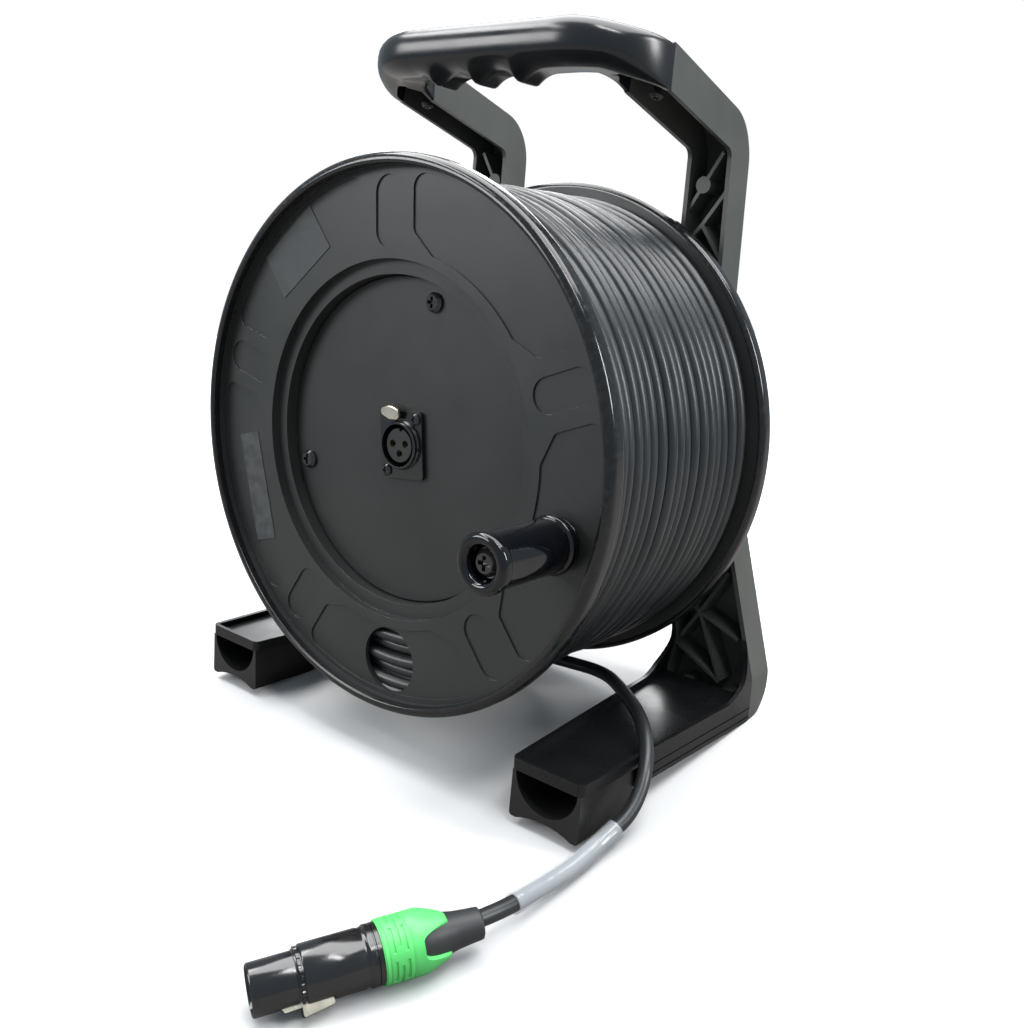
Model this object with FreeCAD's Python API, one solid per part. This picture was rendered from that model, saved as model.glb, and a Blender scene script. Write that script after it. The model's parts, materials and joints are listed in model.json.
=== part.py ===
import FreeCAD, Part

import math
import os

from FreeCAD import Vector as V

# Portable cable drum on a leaning plastic stand, in millimetres.
#
# Every piece is first shaped in the drum's own frame: the drum axis is the Y axis, the front rim
# lies near y = 0, the crank side faces -Y and Z points up the drum. The whole stand leans back,
# so at the end each piece is turned about X by the lean and lifted onto the ground plane z = 0.

# ---------------------------------------------------------------- driving dimensions
LEAN = 6.6                  # how far the stand leans back, in degrees
BLOCK_BOTTOM = -147.4       # underside of the front foot blocks, before the lean
BLOCK_REAR = 42.0
GROUND_FLAT = 0.5           # depth of the small flats worn on the standing edges
CENTRE_Y = 65.71            # from the drum frame's origin to the middle of the stand's depth

FLANGE_R = 125.0
RIM_INNER_R = 120.5
FRONT_RIM = (-1.6, 8.0)     # front rim bead, first and last y
REAR_RIM = (126.0, 135.3)
FLANGE_FACE = 3.0           # thickness of a flange's web
RECESS_R = 81.5             # step down from the flange face to the panel
PANEL_SEAT_R = 75.0
PANEL_R = 74.6
PANEL_FRONT, PANEL_BACK = 15.0, 17.5
BARREL_R, BARREL_WALL = 82.0, 3.0
PATTERN_TURN = 21.3         # angle of the first moulded spoke
SPOKES = 5
POCKET_DEPTH = 0.8
SLOT_IN, SLOT_OUT, SLOT_WIDTH = 86.0, 116.6, 15.0
POCKET_IN, POCKET_BEND, POCKET_OUT = 86.0, 94.0, 118.0
POCKET_FOOT_ANGLE = 17.5    # from a spoke's centre line to the pocket's inner corner
SPOKE_HALF = 15.0           # half the raised width of a spoke
WINDOW_R, WINDOW_AT, WINDOW_ANGLE = 15.75, 102.5, -86.5
PANEL_SCREW_AT, PANEL_SCREW_ANGLES = 66.0, (76.5, 196.6, 316.5)

WINDING_R = 118.5
CABLE_R = 3.25

KNOB_X, KNOB_Z = 97.5, -24.0
KNOB_R, KNOB_BEAD_R, KNOB_COLLAR_R = 11.4, 12.1, 12.3
KNOB_FRONT, KNOB_FOOT = -43.0, -2.0
KNOB_MOUTH_R = 7.4          # opening in the grip's end, with the screw inside
KNOB_WASHER, SPINDLE_HEAD = 1.2, 1.2

SOCKET_TURN = 6.0           # the panel socket sits slightly rotated, and a little off the axis
SOCKET_X, SOCKET_Z = 0.7, -1.1
PLATE_W, PLATE_H, PLATE_FRONT = 26.0, 31.0, 13.0

FRAME_BACK, FRAME_LIP = 163.0, 144.6
FRAME_WALL = 2.3
SEAM_Y = 84.0               # joint between the frame's arms and the grip
ARM_TOP, ARM_BOTTOM = 178.4, 159.3
ARM_RISE = math.tan(math.radians(15.6))
TOP_BEND_R, HEEL_R = 25.0, 18.0
HEEL_Y = FRAME_BACK - HEEL_R

TRAY_RIM, TRAY_FLOOR, TRAY_UNDER = -120.0, -123.0, -125.4
FOOT_FRONT = 0.9
FOOT_WALL = 2.2
HEEL_TOP = -90.0            # top of the foot's rising rear walls
GUSSET_R = 26.0

GAP = 0.3                   # clearance between pieces that move apart
FIT = 0.05                  # radial running fit and screw clearance
SCREW_R = 1.95              # shanks of the drum's self-tapping screws
STAND_SCREW_R = 1.75        # shanks of the stand's screws
BLOCK_SCREW_R = 1.7
HEAD_ROOM_R = 3.4           # counterbores for the stand's screw heads
SPINDLE_R, SPINDLE_END, SPINDLE_HEAD_R = 4.0, -36.0, 7.0
BOLT_R = 4.0                # the bolt that holds the drum on its axle
BUSH_R, BUSH_COLLAR_R, BUSH_COLLAR = 12.5, 16.0, 2.5

SIN, COS = math.sin(math.radians(LEAN)), math.cos(math.radians(LEAN))
GROUND_LIFT = BLOCK_REAR * SIN - BLOCK_BOTTOM * COS - GROUND_FLAT
# the heel's arc touches the same leaning ground plane as the blocks, before the flats are cut
HEEL_Z = BLOCK_BOTTOM + (HEEL_R + (HEEL_Y - BLOCK_REAR) * SIN) / COS
RUNNER_BOTTOM = HEEL_Z - HEEL_R

nodes = {}
Y_AXIS = V(0, 1, 0)


# ---------------------------------------------------------------- shape helpers
def cylinder(radius, y0, y1, x=0.0, z=0.0):
    return Part.makeCylinder(radius, y1 - y0, V(x, y0, z), Y_AXIS)


def tube(outer, inner, y0, y1, x=0.0, z=0.0):
    return cylinder(outer, y0, y1, x, z).cut(cylinder(inner, y0 - 1, y1 + 1, x, z))


def box(x0, x1, y0, y1, z0, z1):
    return Part.makeBox(x1 - x0, y1 - y0, z1 - z0, V(x0, y0, z0))


def lathe(profile, x=0.0, z=0.0):
    """Turns a closed outline of (radius, y) points about a line along Y."""
    points = [V(x + radius, y, z) for radius, y in profile]
    face = Part.Face(Part.makePolygon(points + [points[0]]))
    return face.revolve(V(x, 0, z), Y_AXIS, 360)


def polar(radius, degrees):
    """(x, z) at a radius and an angle about the drum axis."""
    a = math.radians(degrees)
    return radius * math.cos(a), radius * math.sin(a)


def fuse(*shapes):
    return shapes[0].fuse(list(shapes[1:])).removeSplitter()


def mirrored(shape):
    """The same piece on the other side of the stand."""
    return shape.mirror(V(0, 0, 0), V(1, 0, 0))


def turned(shape, degrees, at=V(0, 0, 0)):
    """A copy turned about the drum axis, anticlockwise as seen from the front."""
    copy = shape.copy()
    copy.rotate(at, Y_AXIS, -degrees)
    return copy


def round_path(points, radii, closed):
    """Straight runs joined by tangent arcs, with one radius per point."""
    count = len(points)
    corners = []
    for i, corner in enumerate(points):
        if radii[i] == 0 or (not closed and i in (0, count - 1)):
            corners.append((corner, None, corner))
            continue
        back = (points[i - 1] - corner).normalize()
        onward = (points[(i + 1) % count] - corner).normalize()
        half_turn = (math.pi - back.getAngle(onward)) / 2
        reach = radii[i] * math.tan(half_turn)
        middle = corner + (back + onward).normalize() * (radii[i] / math.cos(half_turn) - radii[i])
        corners.append((corner + back * reach, middle, corner + onward * reach))
    edges = []
    for i, (start, middle, end) in enumerate(corners):
        if middle is not None:
            edges.append(Part.Arc(start, middle, end).toShape())
        following = corners[(i + 1) % count][0]
        if (closed or i < count - 1) and (following - end).Length > 1e-4:
            edges.append(Part.LineSegment(end, following).toShape())
    return Part.Wire(edges)


def outline(corners, plane, level=0.0):
    """Closed wire from (a, b, radius) corners in the plane "xz", "yz" or "xy"."""
    place = {
        "xz": lambda a, b: V(a, level, b),
        "yz": lambda a, b: V(level, a, b),
        "xy": lambda a, b: V(a, b, level),
    }[plane]
    points = [place(c[0], c[1]) for c in corners]
    return round_path(points, [c[2] for c in corners], True)


def prism(wire, direction):
    return Part.Face(wire).extrude(direction)


def inset(wire, distance):
    return wire.makeOffset2D(-distance)


def edge_middle(edge):
    return edge.valueAt((edge.FirstParameter + edge.LastParameter) / 2)


def screw(head_r, head_h, shank_r, length, y, x=0.0, z=0.0, into=1):
    """Pan-head screw with a cross recess; its head seats at y and its shank runs along +Y or -Y."""
    head = lathe([(0, 0), (head_r, 0), (head_r, -0.45 * head_h), (0.72 * head_r, -head_h), (0, -head_h)])
    blade = 0.16 * head_r
    cross = box(-0.55 * head_r, 0.55 * head_r, -head_h - 1, -0.45 * head_h, -blade, blade)
    cross = cross.fuse(turned(cross, 90))
    body = head.cut(cross).fuse(cylinder(shank_r, 0, length))
    if into < 0:
        body = body.mirror(V(0, 0, 0), Y_AXIS)
    body.translate(V(x, y, z))
    return body


def strip(x0, z0, x1, z1, width, y0, y1):
    """Thin upright rib between two points of the front view."""
    length = math.hypot(x1 - x0, z1 - z0)
    rib = box(0, length, y0, y1, -width / 2, width / 2)
    rib.rotate(V(0, 0, 0), Y_AXIS, -math.degrees(math.atan2(z1 - z0, x1 - x0)))
    rib.translate(V(x0, 0, z0))
    return rib


# ---------------------------------------------------------------- the stand
def arm_line(y, at_seam):
    """Height of the sloping arm's top or bottom line."""
    return at_seam - (y - SEAM_Y) * ARM_RISE


def frame_outline():
    """Right half of the stand from the front: upright at the top, splayed towards the foot."""
    return [
        (57.0, 200, 0), (81.0, 200, 0), (81.0, 148, 0), (84.7, 23, 40), (127.2, -113, 14),
        (128.2, -145, 0), (75.8, -145, 0), (76.2, -119, 10), (79.5, -104, 14), (58.2, 23, 40),
    ]


def frame_side(top, bottom, back, seam_y, heel_r, bend_r, front):
    """Side view of the frame moulding between its outer line and the given front line."""
    return [
        (seam_y, arm_line(seam_y, top), 0), (back, arm_line(back, top), bend_r),
        (back, bottom, heel_r),
    ] + front


def frame_half():
    front = [
        (FRAME_LIP, RUNNER_BOTTOM, 0), (FRAME_LIP, arm_line(FRAME_LIP, ARM_BOTTOM), 5),
        (SEAM_Y, ARM_BOTTOM, 0),
    ]
    side = outline(
        frame_side(ARM_TOP, RUNNER_BOTTOM, FRAME_BACK, SEAM_Y, HEEL_R, TOP_BEND_R, front), "yz")
    face = outline(frame_outline(), "xz")
    solid = prism(side, V(150, 0, 0)).common(prism(face, V(0, 200, 0)))

    inner_top = ARM_TOP - FRAME_WALL / math.cos(math.atan(ARM_RISE))
    hollow_side = outline(
        frame_side(inner_top, RUNNER_BOTTOM + FRAME_WALL, FRAME_BACK - FRAME_WALL, 50,
                   HEEL_R - FRAME_WALL, TOP_BEND_R - FRAME_WALL,
                   [(50, RUNNER_BOTTOM + FRAME_WALL, 0)]), "yz")
    hollow = prism(hollow_side, V(150, 0, 0)).common(
        prism(inset(outline(frame_outline(), "xz"), FRAME_WALL), V(0, 200, 0)))
    shell = solid.cut(hollow)

    # zigzag stiffening ribs inside the open channel
    rib_y = FRAME_LIP + 2.0
    ribs = [
        (75.7, 141.7, 57.3, 110.7), (79.6, 124.0, 68.2, 107.7), (68.2, 107.7, 80.6, 91.0),
        (57.6, 96.0, 68.2, 107.7), (80.6, 86.0, 57.6, 50.0), (57.6, 44.0, 83.0, 12.0),
        (88.0, -2.0, 66.0, -34.0), (98.0, -34.0, 72.0, -66.0), (92.4, -86.8, 83.1, -102.3),
        (92.4, -86.8, 115.8, -95.6), (92.4, -86.8, 108.0, -120.5), (92.4, -86.8, 78.0, -78.0),
        (92.4, -86.8, 106.0, -62.0), (80.2, -106.4, 108.0, -121.2),
    ]
    web = [strip(*rib, 1.8, rib_y, FRAME_BACK - 1) for rib in ribs]
    bosses = [cylinder(4.0, rib_y, FRAME_BACK - 1, x, z) for x, z in ((66.5, 126.5), (69.1, 68.0))]
    bosses += [cylinder(4.6, FRAME_LIP, FRAME_BACK - 1, x, z) for x, z in foot_screw_spots()]
    inside = hollow_region(side, face)
    ribbing = fuse(*(web + bosses)).common(inside)
    return shell.fuse(ribbing)


def hollow_region(side, face):
    """The frame's outer envelope a little inside its faces, which trims ribs flush with the walls."""
    return prism(side, V(150, 0, 0)).common(prism(inset(face, 0.6), V(0, FRAME_BACK - 0.6, 0)))


HUB_R = 24.0
HUB_FRONT = 138.0
AXLE_R, SHANK_R, SHOULDER_R = 10.0, 8.0, 15.0
NUT_SEAT = 148.0
CAP_R = 18.0


def crossbar():
    """Bow-tie bridge with the axle hub, open towards the drum like the uprights."""
    arm = [(-61, 36, 6), (-26, 20, 20), (26, 20, 20), (61, 36, 6),
           (61, -36, 6), (26, -20, 20), (-26, -20, 20), (-61, -36, 6)]
    wire = outline(arm, "xz", FRAME_LIP)
    depth = V(0, FRAME_BACK - FRAME_LIP, 0)
    ring_r = 36.0
    body = fuse(prism(wire, depth), cylinder(ring_r, FRAME_LIP, FRAME_BACK))
    hollow_wire = outline(
        [(x + math.copysign(4, x) * (abs(x) > 50), z - math.copysign(FRAME_WALL, z), r)
         for x, z, r in arm], "xz", 0)
    hollow = fuse(prism(hollow_wire, V(0, FRAME_BACK - FRAME_WALL, 0)),
                  cylinder(ring_r - FRAME_WALL, 0, FRAME_BACK - FRAME_WALL))
    body = body.cut(hollow)
    spokes = [turned(box(HUB_R - 1, 35, FRAME_LIP + 2, FRAME_BACK - 1, -0.9, 0.9), 30 + 60 * k)
              for k in range(6)]
    ribs = [strip(side * 34, -16, side * 57, 30, 1.8, FRAME_LIP + 2, FRAME_BACK - 1)
            for side in (-1, 1)]
    body = fuse(body, *spokes, *ribs, cylinder(HUB_R, HUB_FRONT, FRAME_BACK))
    body = body.cut(cylinder(SHANK_R + FIT, 100, 200))
    return body.cut(cylinder(CAP_R, NUT_SEAT, 200))


FOOT_SCREW_X, FOOT_SCREW_Z = (89.0, 115.0), -128.6
FOOT_SCREW_SEAT = 152.0


def foot_screw_spots():
    return [(x, FOOT_SCREW_Z) for x in FOOT_SCREW_X]


def frame_moulding():
    right = frame_half()
    for x, z in foot_screw_spots():
        right = right.cut(cylinder(HEAD_ROOM_R, FOOT_SCREW_SEAT, 170, x, z))
        right = right.cut(cylinder(STAND_SCREW_R + FIT, 140, 170, x, z))
    right = right.cut(grip_screw_hole(GRIP_SCREW_X))
    return fuse(right, mirrored(right), crossbar())


def foot_plan(distance=0.0):
    """Top view of one foot, slightly wider towards the heel."""
    d = distance
    return [
        (86.7 + d, FOOT_FRONT + d, 3 - d * 0.9), (123.5 - d, FOOT_FRONT + d, 3 - d * 0.9),
        (128.0 - d, FRAME_LIP + 1, 0), (75.9 + d, FRAME_LIP + 1, 0),
    ]


def foot_solid():
    # walls: below the rim everywhere, and above it only behind the gusset's curve
    low = box(60, 140, FOOT_FRONT, FRAME_LIP, RUNNER_BOTTOM, TRAY_RIM)
    scoop = Part.makeCylinder(
        GUSSET_R, 100, V(55, FRAME_LIP - GUSSET_R, TRAY_RIM + GUSSET_R), V(1, 0, 0))
    corner = box(60, 140, FRAME_LIP - GUSSET_R, FRAME_LIP, TRAY_RIM - 1, TRAY_RIM + GUSSET_R)
    envelope = low.fuse(corner.cut(scoop)).removeSplitter()
    plan = prism(outline(foot_plan(), "xy", -160), V(0, 0, 120))
    face = prism(outline(frame_outline(), "xz"), V(0, 200, 0))
    outer = envelope.common(plan).common(face)
    plan_in = prism(outline(foot_plan(FOOT_WALL), "xy", -160), V(0, 0, 120))
    face_in = prism(inset(outline(frame_outline(), "xz"), FOOT_WALL), V(0, 200, 0))
    inner = plan_in.common(face_in)
    above = inner.common(box(60, 140, 0, 200, TRAY_FLOOR, 0))
    below = inner.common(box(60, 140, 0, FRAME_LIP - 2.4, -200, TRAY_UNDER))
    return outer.cut(above).cut(below)


def foot():
    body = foot_solid()
    # the block fills the front of the runner, so the skirt stops behind it
    body = body.cut(box(60, 140, -5, BLOCK_REAR + 0.2, -200, TRAY_UNDER))
    for x, z in foot_screw_spots():
        body = body.fuse(cylinder(4.0, FRAME_LIP - 14, FRAME_LIP - 1, x, z))
        body = body.cut(cylinder(STAND_SCREW_R + FIT, FRAME_LIP - 12, 150, x, z))
    # two shadow grooves run along the outer wall, down to the seam with the frame
    run = math.hypot(4.5, FRAME_LIP - FOOT_FRONT)
    for z in (-128.2, -132.8):
        groove = box(-1.0, 0.5, BLOCK_REAR + 0.2, run + 4, z - 0.35, z + 0.35)
        groove.rotate(V(0, 0, 0), V(0, 0, 1), -math.degrees(math.atan2(4.5, FRAME_LIP - FOOT_FRONT)))
        groove.translate(V(123.6, FOOT_FRONT, 0))
        body = body.cut(groove)
    screw_hole = Part.makeCylinder(BLOCK_SCREW_R + FIT, 30, V(BLOCK_SCREW_X, BLOCK_SCREW_Y, TRAY_UNDER - 1))
    return body.cut(screw_hole.common(box(60, 140, 0, 60, -200, TRAY_FLOOR - 0.8)))


BLOCK_SCREW_X, BLOCK_SCREW_Y = 105.0, 37.5
BLOCK_SCREW_SEAT = -139.0
POCKET_R, POCKET_BACK = 16.0, 31.0


def foot_block():
    """Hollow front block: D-shaped mouth under the tray and an arched underside."""
    x0, x1 = 87.3, 123.0
    middle = (x0 + x1) / 2
    corners = [(x0, TRAY_UNDER, 0), (x1, TRAY_UNDER, 0), (x1 + 0.4, BLOCK_BOTTOM, 1.6),
               (x0 - 0.4, BLOCK_BOTTOM, 1.6)]
    body = prism(outline(corners, "xz", 1.4), V(0, BLOCK_REAR - 1.4, 0))
    chord, rise = 14.5, 2.8
    arch_r = (chord ** 2 + rise ** 2) / (2 * rise)
    body = body.cut(cylinder(arch_r, 0, 60, middle, BLOCK_BOTTOM + rise - arch_r))
    pocket = cylinder(POCKET_R, 0, POCKET_BACK, middle, TRAY_UNDER)
    body = body.cut(pocket)
    shank = Part.makeCylinder(BLOCK_SCREW_R + FIT, 40, V(BLOCK_SCREW_X, BLOCK_SCREW_Y, -150))
    head = Part.makeCylinder(3.3, 20, V(BLOCK_SCREW_X, BLOCK_SCREW_Y, BLOCK_SCREW_SEAT - 20))
    return body.cut(shank).cut(head)


def upright_screw(head_r, head_h, shank_r, length):
    """Pan-head screw standing along +Z with its head's seat at z = 0."""
    body = screw(head_r, head_h, shank_r, length, 0)
    body.rotate(V(0, 0, 0), V(1, 0, 0), 90)
    return body


GRIP_FRONT, GRIP_REAR = 45.0, 71.0
GRIP_TOP, GRIP_UNDER = 185.7, 165.2
FINGER_PITCH, FINGER_DEPTH = 24.0, 5.4
TONGUE_END = 99.0
GRIP_SCREW_X = 69.0
GRIP_SCREW_Y = 92.0


def finger_crest(x):
    """Cusp between two finger grooves under the bar."""
    half = FINGER_PITCH / 2
    groove_r = (half ** 2 + FINGER_DEPTH ** 2) / (2 * FINGER_DEPTH)
    y = GRIP_FRONT + 5

    def groove(sign):
        def at(offset):
            drop = groove_r - math.sqrt(groove_r ** 2 - offset ** 2)
            return V(x + sign * (half - offset), y, GRIP_UNDER - drop)
        return Part.Arc(at(0), at(half / 2), at(half - 0.4)).toShape()

    left, right = groove(-1), groove(1)
    tip = Part.LineSegment(left.Vertexes[-1].Point, right.Vertexes[-1].Point).toShape()
    top_left = left.Vertexes[0].Point + V(0, 0, 3)
    top_right = right.Vertexes[0].Point + V(0, 0, 3)
    rest = Part.makePolygon(
        [left.Vertexes[0].Point, top_left, top_right, right.Vertexes[0].Point])
    wire = Part.Wire(Part.__sortEdges__([left, tip, right] + rest.Edges))
    return prism(wire, V(0, GRIP_REAR - GRIP_FRONT - 10, 0))


def grip_tongue(x0, x1):
    """Spigot that slides into the hollow of one arm."""
    low, top = ARM_BOTTOM + 0.4, ARM_TOP - FRAME_WALL - 0.5
    start, end = SEAM_Y - 2, TONGUE_END
    side = [(start, low + 0.6), (end, arm_line(end, low)), (end, arm_line(end, top)),
            (start, top + 0.4)]
    return prism(outline([(y, z, 0) for y, z in side], "yz", x0), V(x1 - x0, 0, 0))


def grip():
    """Carry grip: a bar with finger grooves whose ends sweep back to the frame's arms."""
    plan = outline(
        [(-81, SEAM_Y, 0), (-81, GRIP_FRONT, 38), (81, GRIP_FRONT, 38), (81, SEAM_Y, 0),
         (57, SEAM_Y, 0), (57, GRIP_REAR, 12.5), (-57, GRIP_REAR, 12.5), (-57, SEAM_Y, 0)],
        "xy", 140)
    bar_y = SEAM_Y - (GRIP_UNDER - ARM_BOTTOM) / ARM_RISE
    side = outline(
        [(SEAM_Y, ARM_BOTTOM, 0), (SEAM_Y, ARM_TOP, 0), (60, GRIP_TOP + 0.2, 18),
         (GRIP_FRONT, GRIP_TOP - 1, 10.5), (GRIP_FRONT, GRIP_UNDER, 9), (bar_y, GRIP_UNDER, 4)],
        "yz", -100)
    body = prism(plan, V(0, 0, 70)).common(prism(side, V(200, 0, 0)))
    crests = [finger_crest(k * FINGER_PITCH) for k in (-1, 0, 1)]
    slack = FRAME_WALL + 0.1
    tongue = grip_tongue(57.6 + slack, 81 - slack)      # the arm's inner wall leans a little
    body = fuse(body, *crests, tongue, mirrored(tongue))
    for x in (GRIP_SCREW_X, -GRIP_SCREW_X):
        body = body.cut(grip_screw_hole(x))
    return body


def grip_screw_line(x):
    """Start point and direction of a screw driven up into the tongue, square to the arm."""
    direction = V(0, math.sin(math.atan(ARM_RISE)), math.cos(math.atan(ARM_RISE)))
    return V(x, GRIP_SCREW_Y, arm_line(GRIP_SCREW_Y, ARM_BOTTOM + 2.4)), direction


def grip_screw_hole(x):
    seat, direction = grip_screw_line(x)
    shank = Part.makeCylinder(STAND_SCREW_R + FIT, 13.5, seat, direction)
    return shank.fuse(Part.makeCylinder(HEAD_ROOM_R, 12, seat - direction * 12, direction))


def grip_screws():
    screws = []
    for x in (GRIP_SCREW_X, -GRIP_SCREW_X):
        seat, direction = grip_screw_line(x)
        body = upright_screw(3.2, 1.9, STAND_SCREW_R, 12)
        body.rotate(V(0, 0, 0), V(1, 0, 0), -math.degrees(math.atan(ARM_RISE)))
        body.translate(seat)
        screws.append(body)
    return Part.makeCompound(screws)


# ---------------------------------------------------------------- the fixed axle
RETAINER_FRONT = 48.5
BOLT_HEAD_R = 7.5
FRONT_BUSH = (51.5, 84.0)
REAR_BUSH = (98.0, 131.0)


def axle():
    """Steel stub axle: bearing length, shoulder against the hub and threaded shank."""
    body = fuse(
        cylinder(AXLE_R, FRONT_BUSH[0] - GAP, REAR_BUSH[1] + GAP),
        cylinder(SHOULDER_R, REAR_BUSH[1] + GAP, HUB_FRONT),
        cylinder(SHANK_R, HUB_FRONT, 159.5))
    return body.cut(cylinder(BOLT_R + FIT, 40, 80))


def hexagon(across, y0, y1):
    points = [polar(across / math.sqrt(3), 60 * k) for k in range(7)]
    return prism(Part.makePolygon([V(x, y0, z) for x, z in points]), V(0, y1 - y0, 0))


def stand_nodes():
    right_foot, right_block = foot(), foot_block()
    ground = Part.makeBox(600, 600, 100, V(-300, -300, -100))
    ground.Placement = standing().inverse().multiply(ground.Placement)
    nodes["frame_moulding"] = frame_moulding().cut(ground)
    nodes["foot_right"] = right_foot.cut(ground)
    nodes["foot_left"] = mirrored(right_foot).cut(ground)
    nodes["foot_block_right"] = right_block.cut(ground)
    nodes["foot_block_left"] = mirrored(right_block).cut(ground)
    nodes["grip"] = grip()
    nodes["grip_screws"] = grip_screws()
    foot_screws = [screw(3.2, 2.0, STAND_SCREW_R, FOOT_SCREW_SEAT - FRAME_LIP + 10, FOOT_SCREW_SEAT,
                         x, z, -1) for x, z in foot_screw_spots()]
    nodes["foot_screws"] = Part.makeCompound(foot_screws + [mirrored(s) for s in foot_screws])
    block_screw = upright_screw(3.1, 1.9, BLOCK_SCREW_R, TRAY_FLOOR - 1.2 - BLOCK_SCREW_SEAT)
    block_screw.translate(V(BLOCK_SCREW_X, BLOCK_SCREW_Y, BLOCK_SCREW_SEAT))
    nodes["block_screws"] = Part.makeCompound([block_screw, mirrored(block_screw)])

    nodes["axle"] = axle()
    nodes["axle_washer"] = tube(16.0, SHANK_R + FIT, NUT_SEAT, NUT_SEAT + 2)
    nut = hexagon(24.0, NUT_SEAT + 2, NUT_SEAT + 11).cut(cylinder(SHANK_R + FIT, 140, 170))
    nodes["axle_nut"] = nut
    nodes["hub_cap"] = lathe(
        [(0, 164.2), (CAP_R - 2, 164.2), (CAP_R - 0.4, 163.4), (CAP_R - 0.1, 160.4), (0, 160.4)])
    nodes["axle_retainer"] = tube(SHOULDER_R, BOLT_R + FIT, RETAINER_FRONT, FRONT_BUSH[0] - GAP)
    bolt = fuse(lathe([(0, 43.5), (6.2, 43.5), (BOLT_HEAD_R, 44.4), (BOLT_HEAD_R, 48.5), (0, 48.5)]),
                cylinder(BOLT_R, RETAINER_FRONT, 76))
    nodes["retainer_bolt"] = bolt.cut(hexagon(6.0, 40, 46.5))


# ---------------------------------------------------------------- the drum
def spoke_angles():
    return [PATTERN_TURN + 360 / SPOKES * k for k in range(SPOKES)]


def slot_cutter(angle, y0, y1):
    """Racetrack recess along a spoke's centre line."""
    end_r = SLOT_WIDTH / 2
    shape = fuse(
        box(SLOT_IN + end_r, SLOT_OUT - end_r, y0, y1, -end_r, end_r),
        cylinder(end_r, y0, y1, SLOT_IN + end_r), cylinder(end_r, y0, y1, SLOT_OUT - end_r))
    return turned(shape, angle)


def pocket_cutter(angle, y0, y1):
    """Recess between two spokes: sides parallel to the spokes, chamfered inwards, between two arcs."""
    half_step = 180 / SPOKES

    def beside_spoke(radius):
        return polar(radius, half_step - math.degrees(math.asin(SPOKE_HALF / radius)))

    half = [(*polar(POCKET_IN, half_step - POCKET_FOOT_ANGLE), 0), (*beside_spoke(POCKET_BEND), 4),
            (*beside_spoke(160), 0)]
    corners = half + [(x, -z, r) for x, z, r in reversed(half)]
    shape = prism(outline(corners, "xz", y0), V(0, y1 - y0, 0))
    shape = shape.common(cylinder(POCKET_OUT, y0, y1)).cut(cylinder(POCKET_IN, y0 - 1, y1 + 1))
    corners = [e for e in shape.Edges if abs(e.Length - (y1 - y0)) < 1e-3
               and math.hypot(edge_middle(e).x, edge_middle(e).z) > POCKET_OUT - 3]
    return turned(shape.makeFillet(6.0, corners), angle)


def moulded_pattern(y0, y1):
    shapes = [slot_cutter(a, y0, y1) for a in spoke_angles()]
    shapes += [pocket_cutter(a + 180 / SPOKES, y0, y1) for a in spoke_angles()]
    return Part.makeCompound(shapes)


def bead_fillets(shape, y_face, y_back):
    """Rounds a rim bead: the face's outer and inner crest, and the outer edge behind."""
    for radius_at, y_edge, fillet in (
            (FLANGE_R, y_face, 3.2), (RIM_INNER_R, y_face, 1.1), (FLANGE_R, y_back, 2.6)):
        rings = [e for e in shape.Edges
                 if isinstance(e.Curve, Part.Circle) and abs(e.Curve.Radius - radius_at) < 1e-3
                 and abs(e.Curve.Center.y - y_edge) < 1e-3]
        shape = shape.makeFillet(fillet, rings)
    return shape


FLANGE_SCREW_AT = 70.5
FLANGE_SCREW_ANGLES = [PATTERN_TURN + 72 * k for k in range(5)]


def front_flange():
    rim0, rim1 = FRONT_RIM
    web_front = rim1 - FLANGE_FACE
    ledge = 9.0
    barrel_face = 12.0
    body = lathe([
        (FLANGE_R, rim0), (FLANGE_R, rim1), (BARREL_R, rim1), (BARREL_R, barrel_face),
        (BARREL_R - BARREL_WALL - 0.1, barrel_face), (BARREL_R - BARREL_WALL - 0.1, PANEL_BACK + 3),
        (61.0, PANEL_BACK + 3), (61.0, PANEL_BACK), (PANEL_SEAT_R, PANEL_BACK),
        (PANEL_SEAT_R, ledge), (RECESS_R, ledge), (RECESS_R, web_front), (RIM_INNER_R, web_front),
        (RIM_INNER_R, rim0)])
    body = bead_fillets(body, rim0, rim1)
    body = body.cut(moulded_pattern(web_front - 1, web_front + POCKET_DEPTH))
    wx, wz = polar(WINDOW_AT, WINDOW_ANGLE)
    body = body.cut(cylinder(WINDOW_R, -10, 20, wx, wz))
    for angle in PANEL_SCREW_ANGLES:
        x, z = polar(PANEL_SCREW_AT, angle)
        body = body.fuse(cylinder(4.5, PANEL_BACK + 1, 30, x, z)).cut(
            cylinder(SCREW_R + FIT, 0, 28.5, x, z))
    for angle in FLANGE_SCREW_ANGLES:
        x, z = polar(FLANGE_SCREW_AT, angle)
        body = body.cut(cylinder(SCREW_R + FIT, 10, 30, x, z)).cut(cylinder(3.8, 10, 19.2, x, z))
    # flat-bottomed seat and bore for the crank's spindle
    body = body.cut(cylinder(SPINDLE_R + FIT, -5, 20, KNOB_X, KNOB_Z))
    return body.cut(cylinder(SPINDLE_HEAD_R + FIT, rim1 - SPINDLE_HEAD, 20, KNOB_X, KNOB_Z))


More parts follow.
